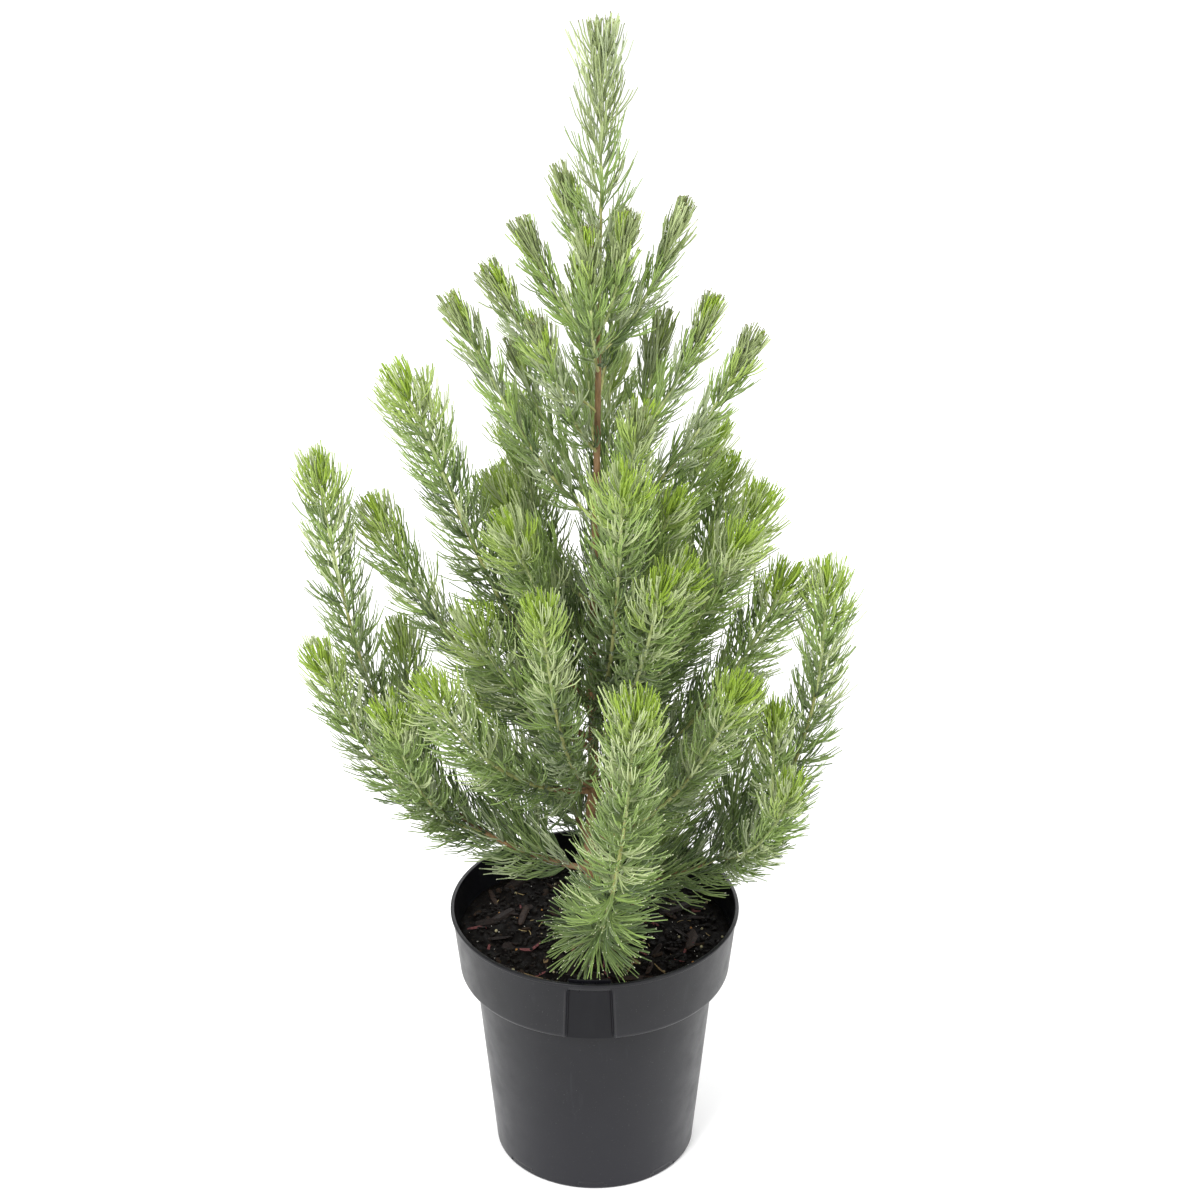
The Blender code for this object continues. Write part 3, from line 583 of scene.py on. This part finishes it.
# name: foot height, heading, reach, tip height, slope at foot, slope at tip, share that is a woody
# bough, and for some how far it bulges and veers. A side stem is: share of its parent's stem, or
# below 0 of its bough, then heading, reach, tip height.
SHOOTS = {
    "left_1": (0.275, 180, 0.223, 0.648, 12, 82, 0.16, 1.25, 0),
    "right_1": (0.270, 0, 0.190, 0.550, -12, 92, 0.18, 1.35, 0),
    "front_1": (0.230, 282, 0.150, 0.507, 4, 84, 0.12, 1.3, 12),
    "back_1": (0.265, 72, 0.195, 0.520, 2, 84, 0.18, 1.25, 0),
    "back_2": (0.300, 112, 0.185, 0.560, 12, 82, 0.18, 1.2, 0),
    "left_2": (0.355, 218, 0.160, 0.500, 14, 68, 0.20),
    "right_2": (0.305, 325, 0.140, 0.490, 26, 70, 0.24),
    "right_3": (0.350, 2, 0.155, 0.545, 28, 68, 0.24),
    "left_3": (0.395, 170, 0.180, 0.595, 24, 70, 0.22),
    "front_2": (0.360, 251, 0.125, 0.580, 30, 76, 0.16),
    "back_3": (0.355, 48, 0.165, 0.590, 28, 70, 0.22),
    "left_4": (0.405, 203, 0.105, 0.530, 34, 70, 0.18),
    "front_3": (0.405, 296, 0.115, 0.590, 34, 72, 0),
    "back_4": (0.420, 115, 0.150, 0.640, 32, 70, 0),
    "right_4": (0.420, 345, 0.120, 0.600, 34, 66, 0.18),
    "front_4": (0.430, 283, 0.100, 0.680, 36, 80, 0.14),
    "left_5": (0.440, 187, 0.150, 0.730, 38, 66, 0.18),
    "right_5": (0.450, 309, 0.105, 0.595, 40, 66, 0),
    "right_6": (0.475, 17, 0.140, 0.600, 26, 70, 0.18),
    "back_5": (0.490, 84, 0.130, 0.690, 36, 68, 0),
    "left_6": (0.485, 219, 0.085, 0.620, 40, 66, 0),
    "left_7": (0.500, 133, 0.120, 0.590, 24, 62, 0),
    "right_7": (0.510, 315, 0.085, 0.645, 40, 66, 0),
    "right_8": (0.530, 34, 0.115, 0.650, 34, 70, 0),
    "left_8": (0.530, 158, 0.080, 0.615, 30, 66, 0),
    "front_5": (0.560, 295, 0.080, 0.725, 36, 74, 0),
    "back_6": (0.565, 58, 0.100, 0.735, 40, 66, 0),
    "right_9": (0.595, 355, 0.120, 0.760, 38, 64, 0),
    "left_9": (0.610, 180, 0.105, 0.785, 40, 64, 0),
    "left_10": (0.620, 130, 0.095, 0.720, 40, 66, 0),
    "right_10": (0.640, 20, 0.095, 0.770, 40, 66, 0),
    "back_7": (0.660, 98, 0.080, 0.785, 40, 66, 0),
    "left_11": (0.670, 237, 0.075, 0.795, 44, 68, 0),
    "left_12": (0.705, 188, 0.075, 0.815, 40, 66, 0),
    "back_8": (0.715, 68, 0.055, 0.835, 46, 72, 0),
    "front_6": (0.740, 264, 0.040, 0.855, 46, 80, 0),
    "right_11": (0.755, 8, 0.065, 0.860, 40, 72, 0),
    "left_13": (0.760, 157, 0.055, 0.840, 40, 66, 0),
    "front_7": (0.775, 306, 0.040, 0.865, 46, 76, 0),
    "leader": (0.800, 0, 0.006, 1.002, 88, 89, 0),
}
SIDE_STEMS = {
    "left_1": (
        (0.06, 193, 0.227, 0.503),
        (0.14, 211, 0.190, 0.480),
        (0.20, 163, 0.170, 0.470),
        (-0.10, 150, 0.100, 0.345),
    ),
    "right_1": (
        (0.12, 332, 0.180, 0.400),
        (0.16, 33, 0.155, 0.400),
        (0.34, 343, 0.155, 0.445),
        (-0.10, 26, 0.095, 0.345),
    ),
    "back_1": ((-0.08, 46, 0.130, 0.370),),
    "back_2": ((-0.08, 140, 0.130, 0.400),),
    "leader": ((0.15, 155, 0.024, 0.886),),
}


def direction(heading, slope):
    """The unit vector of a compass heading from +X and a slope above level, in degrees."""
    h, s = math.radians(heading), math.radians(slope)
    return np.array([math.cos(s) * math.cos(h), math.cos(s) * math.sin(h), math.sin(s)])


def trunk_axis(height):
    """The trunk's middle at a height: it leans in a straight line."""
    share = (height - MIX_LEVEL) / (TRUNK_TOP - MIX_LEVEL)
    return np.stack([TRUNK_FOOT_X + (TRUNK_TOP_X - TRUNK_FOOT_X) * share, 0 * height, height], axis=-1)


def trunk_radius(height):
    return MM * np.interp(height - MIX_LEVEL, list(TRUNK_RADII), list(TRUNK_RADII.values()))


def bent_line(start, end, leave, arrive, bulge=1, veer=0):
    """A Hermite curve from start to end that leaves and arrives at these slopes."""
    heading = math.degrees(math.atan2(end[1] - start[1], end[0] - start[0]))
    pull = np.linalg.norm(end - start) * bulge
    t = np.linspace(0, 1, 240)[:, None]
    return (
        (2 * t**3 - 3 * t**2 + 1) * start
        + (t**3 - 2 * t**2 + t) * pull * direction(heading - veer, leave)
        + (3 * t**2 - 2 * t**3) * end
        + (t**3 - t**2) * pull * direction(heading, arrive)
    )


def shoot_line(name):
    """The middle line of a shoot, from the trunk's axis to its tip, and its bough's length."""
    foot, heading, reach, tip, leave, arrive, bough, *bend = SHOOTS[name]
    end = np.array([0, 0, tip]) + reach * direction(heading, 0)
    line = bent_line(trunk_axis(np.float64(foot)), end, leave, arrive, *bend)
    return line, bough * arc_lengths(line)[-1]


def side_lines(name):
    """The middle lines of a shoot's side stems, which leave it 24 degrees above level."""
    parent, begin = shoot_line(name)
    full = arc_lengths(parent)[-1]
    for at, heading, reach, tip in SIDE_STEMS.get(name, ()):
        start = read_along(parent, parent, begin + (full - begin) * at)
        yield bent_line(start, np.array([0, 0, tip]) + reach * direction(heading, 0), 24, 72)


def frames(line):
    """Forward, side and up at each point of a line. The side stays level, square to its plane."""
    forward = unit(np.gradient(line, axis=0))
    run = line[-1] - line[0]
    level = np.array([-run[1], run[0], 0.0])
    level = level if np.linalg.norm(level) > 5 * MM else np.array([0.0, 1.0, 0.0])
    side = unit(level - (forward @ level)[:, None] * forward)
    return forward, side, np.cross(forward, side)


def tube(line, radius, sides, relief=None):
    """A limb: circles of a radius for each point of its line, in and out by a relief in metres
    that is a function of position. Both ends close to a point."""
    _, side, up = frames(line)
    turn = np.linspace(0, math.tau, sides, endpoint=False)
    out = np.cos(turn)[:, None] * side[:, None] + np.sin(turn)[:, None] * up[:, None]
    grown = line[:, None] + out * radius[:, None, None]
    if relief is not None:
        along = arc_lengths(line)[:, None] + 0 * turn
        grown = grown + out * relief(along, turn, radius[:, None])[..., None]
    first = line[0] + 0.01 * (grown[:1] - line[0])
    last = line[-1] + 0.01 * (grown[-1:] - line[-1])
    points = np.concatenate([first, grown, last])
    return points.reshape(-1, 3), grid_faces(len(points), sides)


def bark_relief(seed):
    """Height of the bark: long ridges that part and meet, short cracks, and a scar now and then."""

    def height(along, turn, radius):
        around = np.stack([np.cos(turn), np.sin(turn)], axis=-1) * radius[..., None]
        at = np.concatenate([around, along[..., None] * 0.22], axis=-1)
        ridges = 1 - 2 * np.abs(noise(at + seed, 1.5 * MM, seed))
        cracks = noise(at * [1, 1, 5] + seed, 1.1 * MM, seed + 1)
        knots = smooth_step((noise(at * [1, 1, 4.5] + seed, 5 * MM, seed + 2) - 0.45) / 0.3)
        return radius * (0.085 * ridges + 0.035 * cracks + 0.16 * knots)

    return height


def shrub_bark():
    """Young shrub bark: warm brown, weathered grey in patches, with pale lenticels of a millimetre."""
    material, shader = new_material("shrub_bark", roughness=0.8)
    ridges = patches(material, (0.34, 0.66), 2.38 * MM, (1, 1, 0.15), 6, 0.65)
    weathered = patches(material, (0.48, 0.70), 22.2 * MM, (1, 1, 0.6))
    pores = patches(material, (0.68, 0.74), 1.429 * MM, (1, 1, 2.2), 2)
    layers = ((ridges, "#83633d"), (weathered, "#80694e"), (pores, "#957a58"))
    paint(material, shader, "#4f3b23", *layers)
    emboss(material, shader, 0.35 * MM, 1.111 * MM, (1, 1, 0.35), 6, 0.7)
    return material


def build_wood():
    heights = np.arange(MIX_LEVEL - 5 * MM, TRUNK_TOP, WOOD_STEP)
    upright = np.stack([0 * heights, 0 * heights, heights], axis=-1)
    wander = TRUNK_WANDER * np.stack([noise(upright, 0.05, seed) for seed in (7, 8)], axis=-1)
    axis = trunk_axis(heights)
    axis[:, :2] += wander * smooth_step((heights - MIX_LEVEL) / 0.03)[:, None]
    parts = [tube(axis, trunk_radius(heights), 44, bark_relief(21))]
    for k, name in enumerate(SHOOTS):
        line, bough = shoot_line(name)
        if not bough:
            continue
        run = np.arange(0, bough + 2 * MM, WOOD_STEP)
        from_skin = np.maximum(run - trunk_radius(np.float64(SHOOTS[name][0])), 0)
        radius = BOUGH_RADIUS + (STEM_RADIUS - BOUGH_RADIUS) * run / run[-1]
        radius = radius * (1 + BOUGH_COLLAR * np.exp(-from_skin / (5 * MM)))
        parts.append(tube(read_along(line, line, run), radius, 20, bark_relief(30 + k)))
    wood = mesh_piece("bark_of_trunk_and_boughs", *join(parts), shrub_bark())
    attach(wood, "root")
    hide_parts("trunk", *(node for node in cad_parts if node.startswith("bough_")))


build_wood()

# ----------------------------------------------------------------------
# Stems: each shoot goes on from its bough, or straight from the trunk, as a slender stem. It is
# brown where it is old, and pale yellow green with soft hairs towards its tip.
# ----------------------------------------------------------------------
PLUMES = [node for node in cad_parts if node.startswith("plume_")]
SLENDER = {"left_1": 0.27, "right_1": 0.16, "left_3": 0.35, "front_2": 0.35, "right_2": 0.22}
STEM_STEP = 2.6 * MM


def slimness(name):
    """How slim a shoot's plume is: 0 for the strong low ones, rising between feet 450 and 620 mm
    high to 1 for those at the top."""
    rising = float(smooth_step((np.float64(SHOOTS[name][0]) - 0.45) / 0.17))
    return max(SLENDER.get(name, 0), rising)


def evenly(line, begin=0):
    """A line read every millimetre, from a distance along it to its end."""
    return read_along(line, line, np.arange(begin, arc_lengths(line)[-1], 1 * MM))


def all_stems():
    """(line, radius at the foot) of every stem, with side stems after their parent."""
    found = []
    for name in SHOOTS:
        foot = STEM_RADIUS * (0.6 if name == "leader" else 1 - 0.3 * slimness(name))
        found.append((evenly(*shoot_line(name)), foot))
        found += [(evenly(twig), 0.8 * foot) for twig in side_lines(name)]
    return found


def hairy_stem(name, dark, pale):
    """A young stem: streaked along its length, dull with short hairs."""
    finish = {"roughness": 0.62, "sheen_weight": 0.25, "sheen_roughness": 0.4}
    material, shader = new_material(name, **finish)
    paint(material, shader, dark, (patches(material, (0.38, 0.64), 3.85 * MM, (1, 1, 0.3)), pale))
    emboss(material, shader, 0.25 * MM, 0.909 * MM)
    return material


def build_stems():
    """Three stages of every stem, each between two distances back from its tip."""
    stages = (
        ("stems_old", 0.30, math.inf, hairy_stem("browned_stem", "#6b4d30", "#93754a")),
        ("stems_mid", 0.10, 0.30, hairy_stem("olive_stem", "#8a8c4e", "#aeb070")),
        ("stems_young", 0.0, 0.10, hairy_stem("pale_stem", "#a0af69", "#c6ce92")),
    )
    stems = all_stems()
    for name, near, far, material in stages:
        parts = []
        for line, foot in stems:
            full = arc_lengths(line)[-1]
            run = np.arange(max(full - far, 0), full - near + 1 * MM, STEM_STEP)
            if len(run) < 4:
                continue
            radius = foot * (1 - 0.4 * run / full)
            parts.append(tube(read_along(line, line, run), radius, 6))
        piece = mesh_piece(name, *join(parts), material)
        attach(piece, "root")
        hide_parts(*PLUMES)


build_stems()

# ----------------------------------------------------------------------
# Needles: each soft grey-green leaf is a short stalk that forks into a fan of fine round needles,
# which sweep up towards the stem's tip. Leaves sit in a spiral, tight and bright in the tuft at
# the tip, wide and dull lower down.
# ----------------------------------------------------------------------
GOLDEN_ANGLE = math.radians(137.5)
NEEDLES = 8
TIP_STEP = 1.1 * MM
OLD_STEP = 2.4 * MM
NEEDLE_WIDTH = 1.05 * MM
SIDE_SLIMNESS = 0.45
SWAY = 0.0010
LEVEL_LIFT = 0.012
# where each needle leaves its leaf, and where its four points are, as shares of the leaf's length
FORK = np.repeat([0.0, 0.05, 0.10, 0.15], NEEDLES // 4)[None, :, None]
SHARE = FORK + (1 - FORK) * np.array([0, 0.34, 0.68, 1.0])
SECOND_FORK = 0.38
FLATNESS = 0.7
NEAR_WALL = (0.119, 0.128)
PAST_BOX = 8 * MM
# the pale and silver copies of the young and mid tones are painted light, and the dark copy of the old
# tone is painted shade, dealt among neighbouring leaves; the old tones, which lie towards the trunk, are
# darker partly by age and partly as painted shade
TONES = {
    "tuft_core": "#95b03e",
    "tuft": "#a0b65f",
    "tuft_grey": "#909e69",
    "young": "#93ac5e",
    "young_painted_lit": "#b4c18c",
    "mid": "#869d5a",
    "mid_silver_painted_lit": "#a2af85",
    "old": "#7a8e54",
    "old_painted_shade": "#5f7344",
}


def leafy_lines():
    """Every stem, and with it its bough from 10 mm clear of the trunk. With each come its traits:
    how slim its plume is, 1 for the leader, and 1 for the low front shoot, whose leaves sprawl."""
    lines = []
    for name in SHOOTS:
        line, bough = shoot_line(name)
        slim = slimness(name)
        traits = [slim, name == "leader", name == "front_1"]
        lines.append((evenly(line, 10 * MM if bough else 0), traits))
        lines += [(evenly(twig), [max(SIDE_SLIMNESS, slim), 0, 0]) for twig in side_lines(name)]
    return lines


def leaf_roots(line, traits, phase, rule):
    """Where a stem's leaves sit, from its tip down, and which way each looks. Steps between them
    grow from TIP_STEP to OLD_STEP, wider on slim stems and closer near the pot, and each leaf is
    turned by the golden angle from the last."""
    slim, leading, lax = traits
    full = arc_lengths(line)[-1]
    back = np.arange(0.3 * MM, full - 3 * MM, 0.2 * MM)
    step = TIP_STEP + (OLD_STEP - TIP_STEP) * (1 - np.exp(-back / 0.025))
    height = read_along(line, line, full - back)[:, 2]
    sparse = (0.65 * slim + 0.15 * leading) * (1 - np.exp(-back / 0.030))
    crowded = 0.40 * (1 - lax) * smooth_step((0.35 - height) / 0.05) + 0.30 * lax
    step = step * (1 + sparse + 0.14 * smooth_step((0.40 - height) / 0.15) - crowded)
    count = np.concatenate([[0], np.cumsum(np.diff(back) / step[1:])])
    back = np.interp(np.arange(int(count[-1])), count, back)
    forward, side, up = (read_along(line, values, full - back) for values in frames(line))
    turn = phase + np.arange(len(back)) * GOLDEN_ANGLE + rule.uniform(-0.2, 0.2, len(back))
    out = np.cos(turn)[:, None] * side + np.sin(turn)[:, None] * up
    each = np.tile(np.array(traits, float), (len(back), 1))
    return read_along(line, line, full - back), unit(forward), unit(out), back, each


def swept_arcs(back, traits, height, rule):
    """Three arrays for four points along each needle of each leaf: how far the leaf's middle line
    runs forward and outward, and the angle it ends at. It is an arc that turns steadily from a
    wide angle at its root to a narrow one at its tip. Slim and young leaves are the most upright,
    and a tuft is closed."""
    slim, leading, lax = traits
    young = np.exp(-back / 0.010)
    settled = 1 - np.exp(-back / 0.090)
    flare = back / 0.020 * np.exp(1 - back / 0.020)
    sprawl = lax * smooth_step((back - 0.07) / 0.12)
    low = smooth_step((0.42 - height) / 0.20)
    each = (len(back), NEEDLES, 1)
    tilt = rule.normal(0, math.radians(4), (len(back), 1, 1)) + rule.normal(0, math.radians(3.5), each)
    end_angle = 2 + (18 + 6 * low - 8 * slim + 4 * leading + 26 * sprawl) * settled
    end_angle = np.radians(end_angle) + tilt
    closed = (0.45 - 0.20 * leading) * np.exp(-back / (0.010 + 0.022 * slim))
    opening = (42 - 8 * slim + 2 * leading) * (1 - closed) + 17 * (1 - slim) * flare
    start_angle = end_angle + np.radians(opening)
    grown = 0.018 - 0.010 * slim + 0.017 * leading + 0.005 * sprawl
    length = 0.027 - 0.003 * leading + grown * (1 - young)
    length = length + 0.006 * (1 - lax) * smooth_step((0.35 - height) / 0.06)
    length = length * rule.uniform(0.94, 1.06, (len(back), 1, 1))
    turned_to = start_angle + (end_angle - start_angle) * SHARE
    sweep_by = end_angle - start_angle
    forward_run = length * (np.sin(turned_to) - np.sin(start_angle)) / sweep_by
    outward_run = -length * (np.cos(turned_to) - np.cos(start_angle)) / sweep_by
    return forward_run, outward_run, end_angle


def needle_paths(root, forward, out, back, traits, rule):
    """Four points along each needle of each leaf, about the leaf's arc. Needles part from it in
    pairs near its root, and each pair parts again half way, into places in an ellipse round the
    leaf's tip. In a tuft all tips end nearly level, and on a level bough they turn up to the
    light."""
    ahead, away, base = forward[:, None, None], out[:, None, None], root[:, None, None]
    sideways_to = np.cross(forward, out)[:, None, None]
    back, height, climb = (values[:, None, None] for values in (back, root[:, 2], forward[:, 2]))
    traits = traits.T[:, :, None, None]
    slim, leading, lax = traits
    forward_run, outward_run, end_angle = swept_arcs(back, traits, height, rule)
    each, pair = (len(root), NEEDLES, 1), (len(root), NEEDLES // 2, 1)
    young = np.exp(-back / 0.010)
    settled = 1 - np.exp(-back / 0.090)
    width = 0.0125 - 0.0050 * young - 0.0048 * slim + 0.0050 * leading * (1 - young)
    place = np.repeat(width * np.sqrt(rule.uniform(0, 1, pair)), 2, axis=1)
    spin = np.repeat(rule.uniform(0, math.tau, pair), 2, axis=1)
    own_place = 0.48 * width * np.sqrt(rule.uniform(0.1, 1, each))
    own_spin = rule.uniform(0, math.tau, each)
    first = np.clip((SHARE - FORK) / (1 - FORK), 0, 1) ** 0.75
    second = np.clip((SHARE - SECOND_FORK) / (1 - SECOND_FORK), 0, 1) ** 0.8
    sway = rule.normal(0, SWAY, each) * np.sin(math.pi * first)
    sideways = place * np.cos(spin) * first + own_place * np.cos(own_spin) * second + sway
    across = FLATNESS * (place * np.sin(spin) * first + own_place * np.sin(own_spin) * second)
    shorter = 1 - rule.uniform(0, 1, each) * (0.10 + 0.25 * settled) * first
    middle = forward_run[..., None] * ahead + outward_run[..., None] * away
    square_to = np.cos(end_angle)[..., None] * away - np.sin(end_angle)[..., None] * ahead
    spread = sideways[..., None] * sideways_to + across[..., None] * square_to
    level = (1 - np.abs(climb)) * (1 - lax) * settled
    lift = (LEVEL_LIFT * level * SHARE**2)[..., None] * np.array([0, 0, 1])
    return base + middle * shorter[..., None] + spread + lift


def clear_of_solids(paths):
    """Whether each needle keeps out of the mix, the pot's wall and the trunk, and within 8 mm of
    the box of the solid model."""
    low, high = (np.array(corner) for corner in cad_box)
    reached = ((paths > low - PAST_BOX) & (paths < high + PAST_BOX)).all(-1).all(-1)
    x, y, z = paths[..., 0], paths[..., 1], paths[..., 2]
    from_axis = np.hypot(x, y)
    in_mix = (z < MIX_LEVEL + 0.5 * MM) & (from_axis < RIM_RADIUS)
    in_wall = (from_axis > NEAR_WALL[0]) & (from_axis < NEAR_WALL[1])
    axis = trunk_axis(z)
    in_trunk = (np.hypot(x - axis[..., 0], y) < trunk_radius(z)) & (z < TRUNK_TOP)
    at_wall = in_wall & (z < POT_HEIGHT + 1 * MM)
    return reached & ~(in_mix | at_wall | in_trunk)[..., 1:].any(-1)


def needle_mesh(name, paths, width, material, rule):
    """Needles as slim keeled blades, each turned its own way about its length: three points (edge,
    keel and edge) at each point of a path, closer at the blunt tip."""
    count = len(paths)
    along = unit(paths[:, 3] - paths[:, 0])
    level = unit(np.cross(along, rule.normal(0, 1, (count, 3))))
    keel = np.cross(along, level)
    section = np.stack([-0.5 * level, 0.75 * keel, 0.5 * level], axis=1) * width[:, None, None]
    taper = np.array([0.85, 1.0, 1.0, 0.78])[None, :, None, None]
    points = paths[:, :, None] + section[:, None] * taper
    corners = np.array([(a, a + 1, a + 4, a + 3) for a in (0, 1, 3, 4, 6, 7)])
    faces = corners + 12 * np.arange(count)[:, None, None]
    return mesh_piece(name, points.reshape(-1, 3), faces.reshape(-1, 4), material)


def needle_tips(name, paths, code, rule):
    """The dry or downy tip of a needle: a three-sided bead, pointed both ways, 2 mm long."""
    count = len(paths)
    end = paths[:, 3]
    along = unit(end - paths[:, 2])
    level = unit(np.cross(along, rule.normal(0, 1, (count, 3))))
    square = np.cross(along, level)
    turn = np.arange(3)[:, None] * math.tau / 3
    ring = np.cos(turn) * level[:, None] + np.sin(turn) * square[:, None]
    ring = (end - 0.5 * MM * along)[:, None] + 0.55 * MM * ring
    foot, peak = (end - 1.6 * MM * along)[:, None], (end + 0.4 * MM * along)[:, None]
    points = np.concatenate([foot, ring, peak], axis=1)
    corners = np.array([(0, 2, 1), (0, 3, 2), (0, 1, 3), (4, 1, 2), (4, 2, 3), (4, 3, 1)])
    faces = corners + 5 * np.arange(count)[:, None, None]
    finish = {"base_color": linear(code), "roughness": 0.6, "ior": 1.42}
    material, _ = new_material(name.replace("needle_", ""), **finish)
    return mesh_piece(name, points.reshape(-1, 3), faces.reshape(-1, 3), material)


def deal(chance, shares, rest):
    """Tones dealt by chance: each where chance is below its share, and the rest of them another."""
    names = np.array([*shares, rest])
    return names[np.searchsorted(list(shares.values()), chance, side="right")]


def tone_of_leaves(back, traits, rule):
    """Each leaf's tone by its age and its stem, with chance at the borders: bright at the tip, dull when
    old. Old leaves lie towards the trunk and are darker there partly by age and partly as painted shade,
    and the pale, silver and dark copies of a tone, dealt by chance, are painted light and painted shade
    between neighbouring leaves. Each line overrules those before it."""
    slim, leading, lax = traits.T
    age = back * rule.uniform(0.75, 1.3, len(back))
    chance = rule.uniform(0, 1, len(back))
    upper, top, low = slim > 0.5, leading > 0.5, lax > 0.5
    core = (age < 0.012) & (chance < 0.8 - 0.4 * slim - 0.4 * leading)
    grey = upper & (age < 0.034) & (chance > 0.32) & (chance < 0.88)
    silvery = upper & (age >= 0.034) & (age < 0.16) & (chance > 0.45) & (chance < 0.80)
    tone = deal(chance, {"old": 0.52, "old_painted_shade": 0.90}, "mid_silver_painted_lit")
    for where, shares, rest in (
        (age < 0.230, {"mid": 0.42, "mid_silver_painted_lit": 0.58, "old": 0.82}, "old_painted_shade"),
        (age < 0.100, {"young": 0.40, "young_painted_lit": 0.64, "mid": 0.88}, "old"),
        (age < 0.034, {"tuft": 0.62}, "young_painted_lit"),
        (core, {}, "tuft_core"),
        (grey, {}, "tuft_grey"),
        (silvery, {}, "mid_silver_painted_lit"),
        (low & (age > 0.090), {"young": 0.35, "mid": 0.60, "old": 0.90}, "young_painted_lit"),
        (low & (age > 0.190), {"mid": 0.10, "old": 0.45}, "old_painted_shade"),
        (top & (age < 0.060), {"young_painted_lit": 0.18, "tuft_grey": 0.66}, "mid_silver_painted_lit"),
        (top & (age >= 0.060), {"mid_silver_painted_lit": 0.40, "tuft_grey": 0.72}, "mid"),
    ):
        tone = np.where(where, deal(chance, shares, rest), tone)
    return tone


def build_needles():
    rule = np.random.default_rng(5)
    parts = [leaf_roots(*stem, rule.uniform(0, math.tau), rule) for stem in leafy_lines()]
    root, forward, out, back, traits = (np.concatenate([part[k] for part in parts]) for k in range(5))
    tone = tone_of_leaves(back, traits, rule)
    paths = needle_paths(root, forward, out, back, traits, rule)
    clear = clear_of_solids(paths)
    width = NEEDLE_WIDTH * rule.uniform(0.8, 1.2, paths.shape[:2])
    finish = {"roughness": 0.5, "ior": 1.42, "sheen_weight": 0.2, "sheen_roughness": 0.35}
    pieces = []
    # each tone is one piece; its pale, silver and dark copies carry painted light and painted shade
    for name, code in TONES.items():
        chosen = clear & (tone == name)[:, None]
        material, _ = new_material(f"needle_{name}", base_color=linear(code), **finish)
        pieces.append(needle_mesh(f"needles_{name}", paths[chosen], width[chosen], material, rule))
    chance = rule.uniform(0, 1, clear.shape)
    slim, _, lax = traits.T[:, :, None]
    back = back[:, None]
    downy = clear & (chance < 0.22 + 0.30 * lax) & (back > 0.015) & (slim < 0.5)
    dry = clear & (chance > 0.62) & (back < 0.022) & (slim > 0.5)
    pieces.append(needle_tips("needle_tips_downy", paths[downy], "#dfe1c0", rule))
    pieces.append(needle_tips("needle_tips_dry", paths[dry], "#756a42", rule))
    for piece in pieces:
        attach(piece, "root")
        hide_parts(*PLUMES)


build_needles()

# ----------------------------------------------------------------------
# Floor and light: a plain white studio floor under large soft lights, in a white world all round it.
# ----------------------------------------------------------------------
def build_studio():
    turn = np.linspace(0, math.tau, 96, endpoint=False)
    radius = np.array([0.001, 0.3, 1, 3, 8, 20, 40])[:, None]
    points = turned(radius, turn, -0.2 * MM)
    paper, shader = new_material("white_paper", roughness=0.9)
    paint(paper, shader, "#fbfbfb", (patches(paper, (0.3, 0.7), 333 * MM, detail=3), "#ffffff"))
    floor = mesh_piece("floor", points.reshape(-1, 3), grid_faces(len(radius), len(turn)), paper)
    world = bpy.data.worlds.new("studio")
    world.use_nodes = True
    world.node_tree.nodes["Background"].inputs["Color"].default_value = (1, 1, 1, 1)
    world.node_tree.nodes["Background"].inputs["Strength"].default_value = 1.0
    scene.world = world
    for name, place, aim, size, power in (
        ("key", (-1.3, -2.2, 2.6), (0, 0, 0.5), 1.3, 95),
        ("fill", (1.8, -1.6, 1.6), (0, 0, 0.5), 1.6, 25),
        ("back", (0.3, 2.2, 2.4), (0, 0, 0.6), 1.6, 25),
    ):
        light = bpy.data.objects.new(name, bpy.data.lights.new(name, "AREA"))
        scene.collection.objects.link(light)
        light.data.shape = "DISK"
        light.data.size = size
        light.data.energy = power
        light.location = place
        light.rotation_euler = (Vector(aim) - Vector(place)).to_track_quat("-Z", "Y").to_euler()


build_studio()
